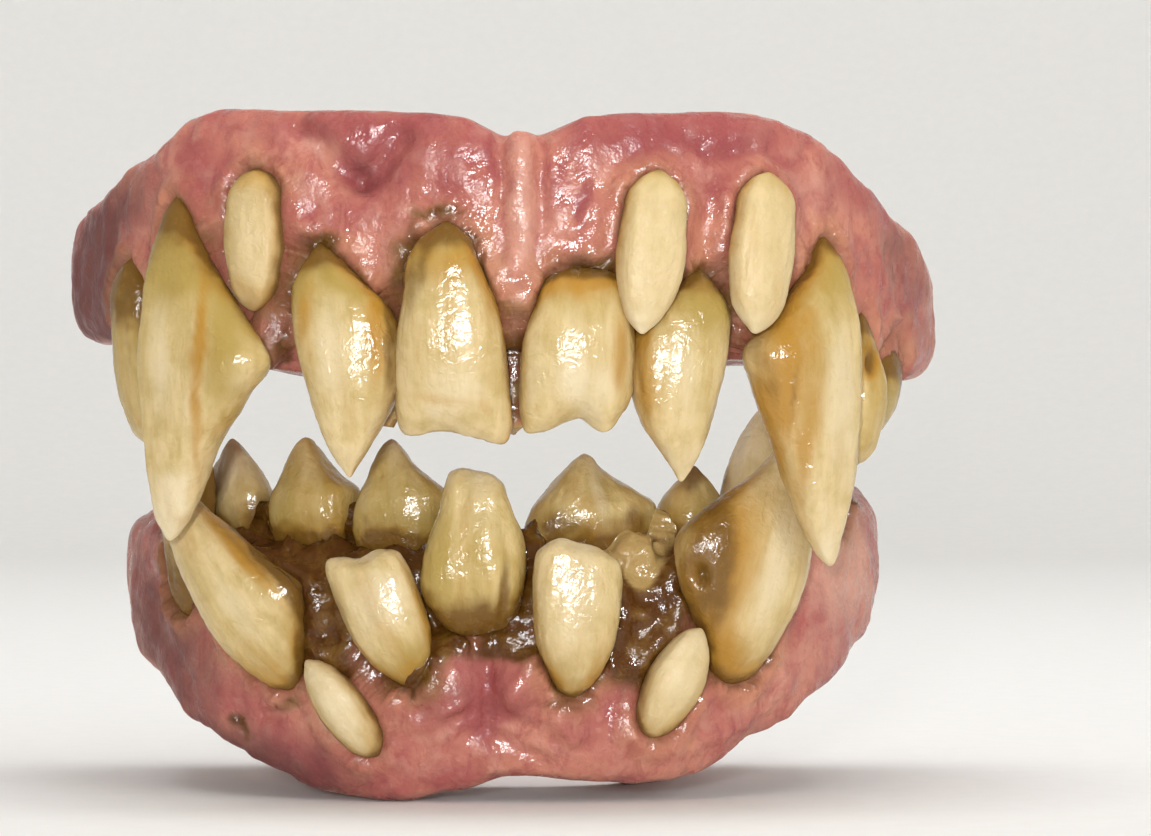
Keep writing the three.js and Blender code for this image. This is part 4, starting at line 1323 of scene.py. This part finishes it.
def gum_material(finish):
    """Wet mottled gum, purple and dirty beside the fangs, with painted shade, highlights and light from its
    marks.
    """
    material, tree, shader = new_material("wet_gum")
    worn_and_lit, blood, mauve = rgba(finish.worn_and_lit), rgba(finish.blood), rgba(finish.mauve)
    where = add_node(tree, "ShaderNodeTexCoord").outputs["Object"]
    broad = speckles(tree, where, BROAD_SCALE)
    close = speckles(tree, where, CLOSE_SCALE)
    patches = ranged(tree, broad["Mottle"], 0.36, 0.6)
    colour = colour_mix(tree, patches, rgba(finish.rose), rgba(finish.pink))
    colour = colour_mix(tree, ranged(tree, close["Mottle"], 0.5, 0.75, most=0.5), colour, worn_and_lit)
    drawn = stretched(tree, where, THREADS_STRETCH)
    threads = noise_texture(tree, drawn, THREADS_SCALE, Detail=6.0, Roughness=0.7, Distortion=0.6)
    colour = colour_mix(tree, ranged(tree, threads, 0.48, 0.66, most=0.7), colour, blood)
    uneven = weighed(tree, broad["Mottle"], 0.5, close["Mottle"], 0.5)
    clear = ranged(tree, close["Mottle"], 0.46, 0.74)
    dirt = colour_mix(tree, clear, rgba(finish.tar), rgba(finish.resin))
    # Besides their colours, the pale layer paints highlights and light, and the deep red, mauve and tar
    # layers paint shade, where their marks lie.
    layers = (
        ("pale", worn_and_lit, 0.6, 0.85),
        ("blood", blood, 0.8, 0.85),
        ("mauve", mauve, 0.9, 0.9),
        ("beside", rgba(finish.tan), 1.0, 0.45),
        ("tar", dirt, 1.0, 0.95),
        ("margin", dirt, 1.2, 0.95),
        ("plaque", rgba(finish.plaque), 0.8, 0.9),
    )
    for mask, tint, broken, most in layers:
        share = ragged_mask(tree, mask, uneven, broken)
        colour = colour_mix(tree, scaled(tree, share, most), colour, tint)
    colour = colour_mix(tree, scaled(tree, close["Specks"], 0.1), colour, mauve)
    dull = ranged(tree, close["Mottle"], 0.38, 0.62, finish.roughness * 0.5, finish.roughness * 1.6)
    dull = sums(tree, "ADD", dull, scaled(tree, mask_of(tree, "mauve"), 0.25))
    for mask in ("beside", "tar"):
        dull = sums(tree, "SUBTRACT", dull, scaled(tree, mask_of(tree, mask), 0.06))
    relief = weighed(tree, close["Mottle"], 0.8, broad["Fine"], 0.15)
    fill(tree, shader, {
        "Base Color": colour,
        "Roughness": sums(tree, "MAXIMUM", dull, WET_LEAST),
        "Normal": bumped(tree, relief, 0.9, 0.5 * MM),
        "Specular IOR Level": 0.28,
        "Subsurface Weight": 0.12,
        "Subsurface Radius": (1.0, 0.4, 0.3),
        "Subsurface Scale": 1.0 * MM,
    })
    return material


def paper_material(finish):
    """Matt paper with a faint fibre."""
    material, tree, shader = new_material("sweep_paper")
    where = add_node(tree, "ShaderNodeTexCoord").outputs["Object"]
    fibre = noise_texture(tree, where, PAPER_SCALE, Detail=4.0)
    shade = tuple(c * FIBRE_SHADE for c in finish.paper)
    colour = colour_mix(tree, fibre, rgba(shade), rgba(finish.paper))
    fill(tree, shader, {"Base Color": colour, "Roughness": PAPER_ROUGHNESS})
    return material


# Operators

class FALSETEETH_OT_fangs(bpy.types.Operator):
    """Build every fang of both plates with its stains"""

    bl_idname = "falseteeth.fangs"
    bl_label = "Fangs"

    def execute(self, context):
        finish = context.scene.fang_finish
        materials = {enamel["finish"]: enamel_material(enamel, finish) for enamel in ENAMELS}
        gums = {plate: gum_surface(plate) for plate in PLATES}
        for tooth in TEETH:
            build_tooth(tooth, finish, materials[tooth["finish"]], gums[tooth["name"].split("_")[0]])
        return {"FINISHED"}


class FALSETEETH_OT_gums(bpy.types.Operator):
    """Build both gum plates, closed round their fangs"""

    bl_idname = "falseteeth.gums"
    bl_label = "Gums"

    def execute(self, context):
        finish = context.scene.gum_finish
        material = gum_material(finish)
        for plate in PLATES:
            build_gum(plate, finish, material)
        return {"FINISHED"}


def sweep_mesh(wall):
    """Round floor of paper that bends up into a wall all round."""
    flat = wall - SWEEP_BEND
    profile = [
        (flat + SWEEP_BEND * math.sin(a), SWEEP_BEND - SWEEP_BEND * math.cos(a))
        for a in np.linspace(0, math.pi / 2, SWEEP_STEPS)
    ]
    profile.append((wall, SWEEP_HIGH))
    turns = np.linspace(0, 2 * math.pi, SWEEP_ROUND, endpoint=False)
    corners = [(r * math.cos(t), r * math.sin(t), z) for r, z in profile for t in turns]
    faces = [tuple(range(SWEEP_ROUND))]
    for row in range(len(profile) - 1):
        for side in range(SWEEP_ROUND):
            a, b = row * SWEEP_ROUND + side, row * SWEEP_ROUND + (side + 1) % SWEEP_ROUND
            faces.append((a, a + SWEEP_ROUND, b + SWEEP_ROUND, b))
    mesh = bpy.data.meshes.new("sweep")
    mesh.from_pydata(corners, [], faces)
    mesh.shade_smooth()
    return mesh


def add_light(light, target, power):
    """Soft square light from the table, turned to a target in metres."""
    lamp = bpy.data.lights.new(light["name"], "AREA")
    lamp.size = light["size"]
    lamp.energy = power
    lit = bpy.data.objects.new(light["name"], lamp)
    lit.location = light["spot"]
    lit.visible_glossy = light["wet"]
    lit.visible_diffuse = light["matt"]
    lit.visible_camera = False
    lit.rotation_euler = (Vector(target) - Vector(light["spot"])).to_track_quat("-Z", "Y").to_euler()
    bpy.context.scene.collection.objects.link(lit)


class FALSETEETH_OT_stage(bpy.types.Operator):
    """Build the sweep, the lights and the camera"""

    bl_idname = "falseteeth.stage"
    bl_label = "Stage"

    def execute(self, context):
        scene = context.scene
        finish = scene.stage_finish
        mesh = sweep_mesh(finish.wall)
        mesh.materials.append(paper_material(finish))
        sweep = bpy.data.objects.new("sweep", mesh)
        scene.collection.objects.link(sweep)
        for light in LIGHTS:
            target = (0.0, finish.wall, LIT_WALL) if light["name"] == "back" else LIT_MIDDLE
            add_light(light, target, getattr(finish, light["name"]))
        world = bpy.data.worlds.new("studio")
        world.use_nodes = True
        room = world.node_tree.nodes["Background"]
        fill(world.node_tree, room, {"Color": ROOM_COLOUR, "Strength": ROOM_STRENGTH})
        scene.world = world
        scene.view_settings.view_transform = "Standard"
        lens = bpy.data.cameras.new("photo_lens")
        lens.sensor_width = SENSOR_WIDE
        lens.lens = SENSOR_WIDE * PHOTO_FOCAL / PHOTO_SIZE[0]
        lens.clip_start = CLIP_START
        camera = bpy.data.objects.new("photo_lens", lens)
        camera.location = PHOTO_LENS * MM
        camera.rotation_euler = (math.pi / 2, 0.0, 0.0)
        scene.collection.objects.link(camera)
        scene.camera = camera
        return {"FINISHED"}


class FALSETEETH_PT_panel(bpy.types.Panel):
    """Lists the steps that build the false teeth"""

    bl_idname = "FALSETEETH_PT_panel"
    bl_label = "False teeth"
    bl_space_type = "VIEW_3D"
    bl_region_type = "UI"
    bl_category = "False teeth"

    def draw(self, context):
        for operator in OPERATORS:
            self.layout.operator(operator.bl_idname)
        for group in ("fang_finish", "gum_finish", "stage_finish"):
            settings = getattr(context.scene, group)
            for name in settings.__annotations__:
                self.layout.prop(settings, name)


OPERATORS = (FALSETEETH_OT_fangs, FALSETEETH_OT_gums, FALSETEETH_OT_stage)
CLASSES = (FangFinish, GumFinish, StageFinish, *OPERATORS, FALSETEETH_PT_panel)


def register():
    for part in CLASSES:
        bpy.utils.register_class(part)
    bpy.types.Scene.fang_finish = PointerProperty(type=FangFinish)
    bpy.types.Scene.gum_finish = PointerProperty(type=GumFinish)
    bpy.types.Scene.stage_finish = PointerProperty(type=StageFinish)


def unregister():
    del bpy.types.Scene.fang_finish
    del bpy.types.Scene.gum_finish
    del bpy.types.Scene.stage_finish
    for part in reversed(CLASSES):
        bpy.utils.unregister_class(part)


def main():
    register()
    bpy.ops.falseteeth.fangs()
    bpy.ops.falseteeth.gums()
    bpy.ops.falseteeth.stage()


if __name__ == "__main__":
    main()
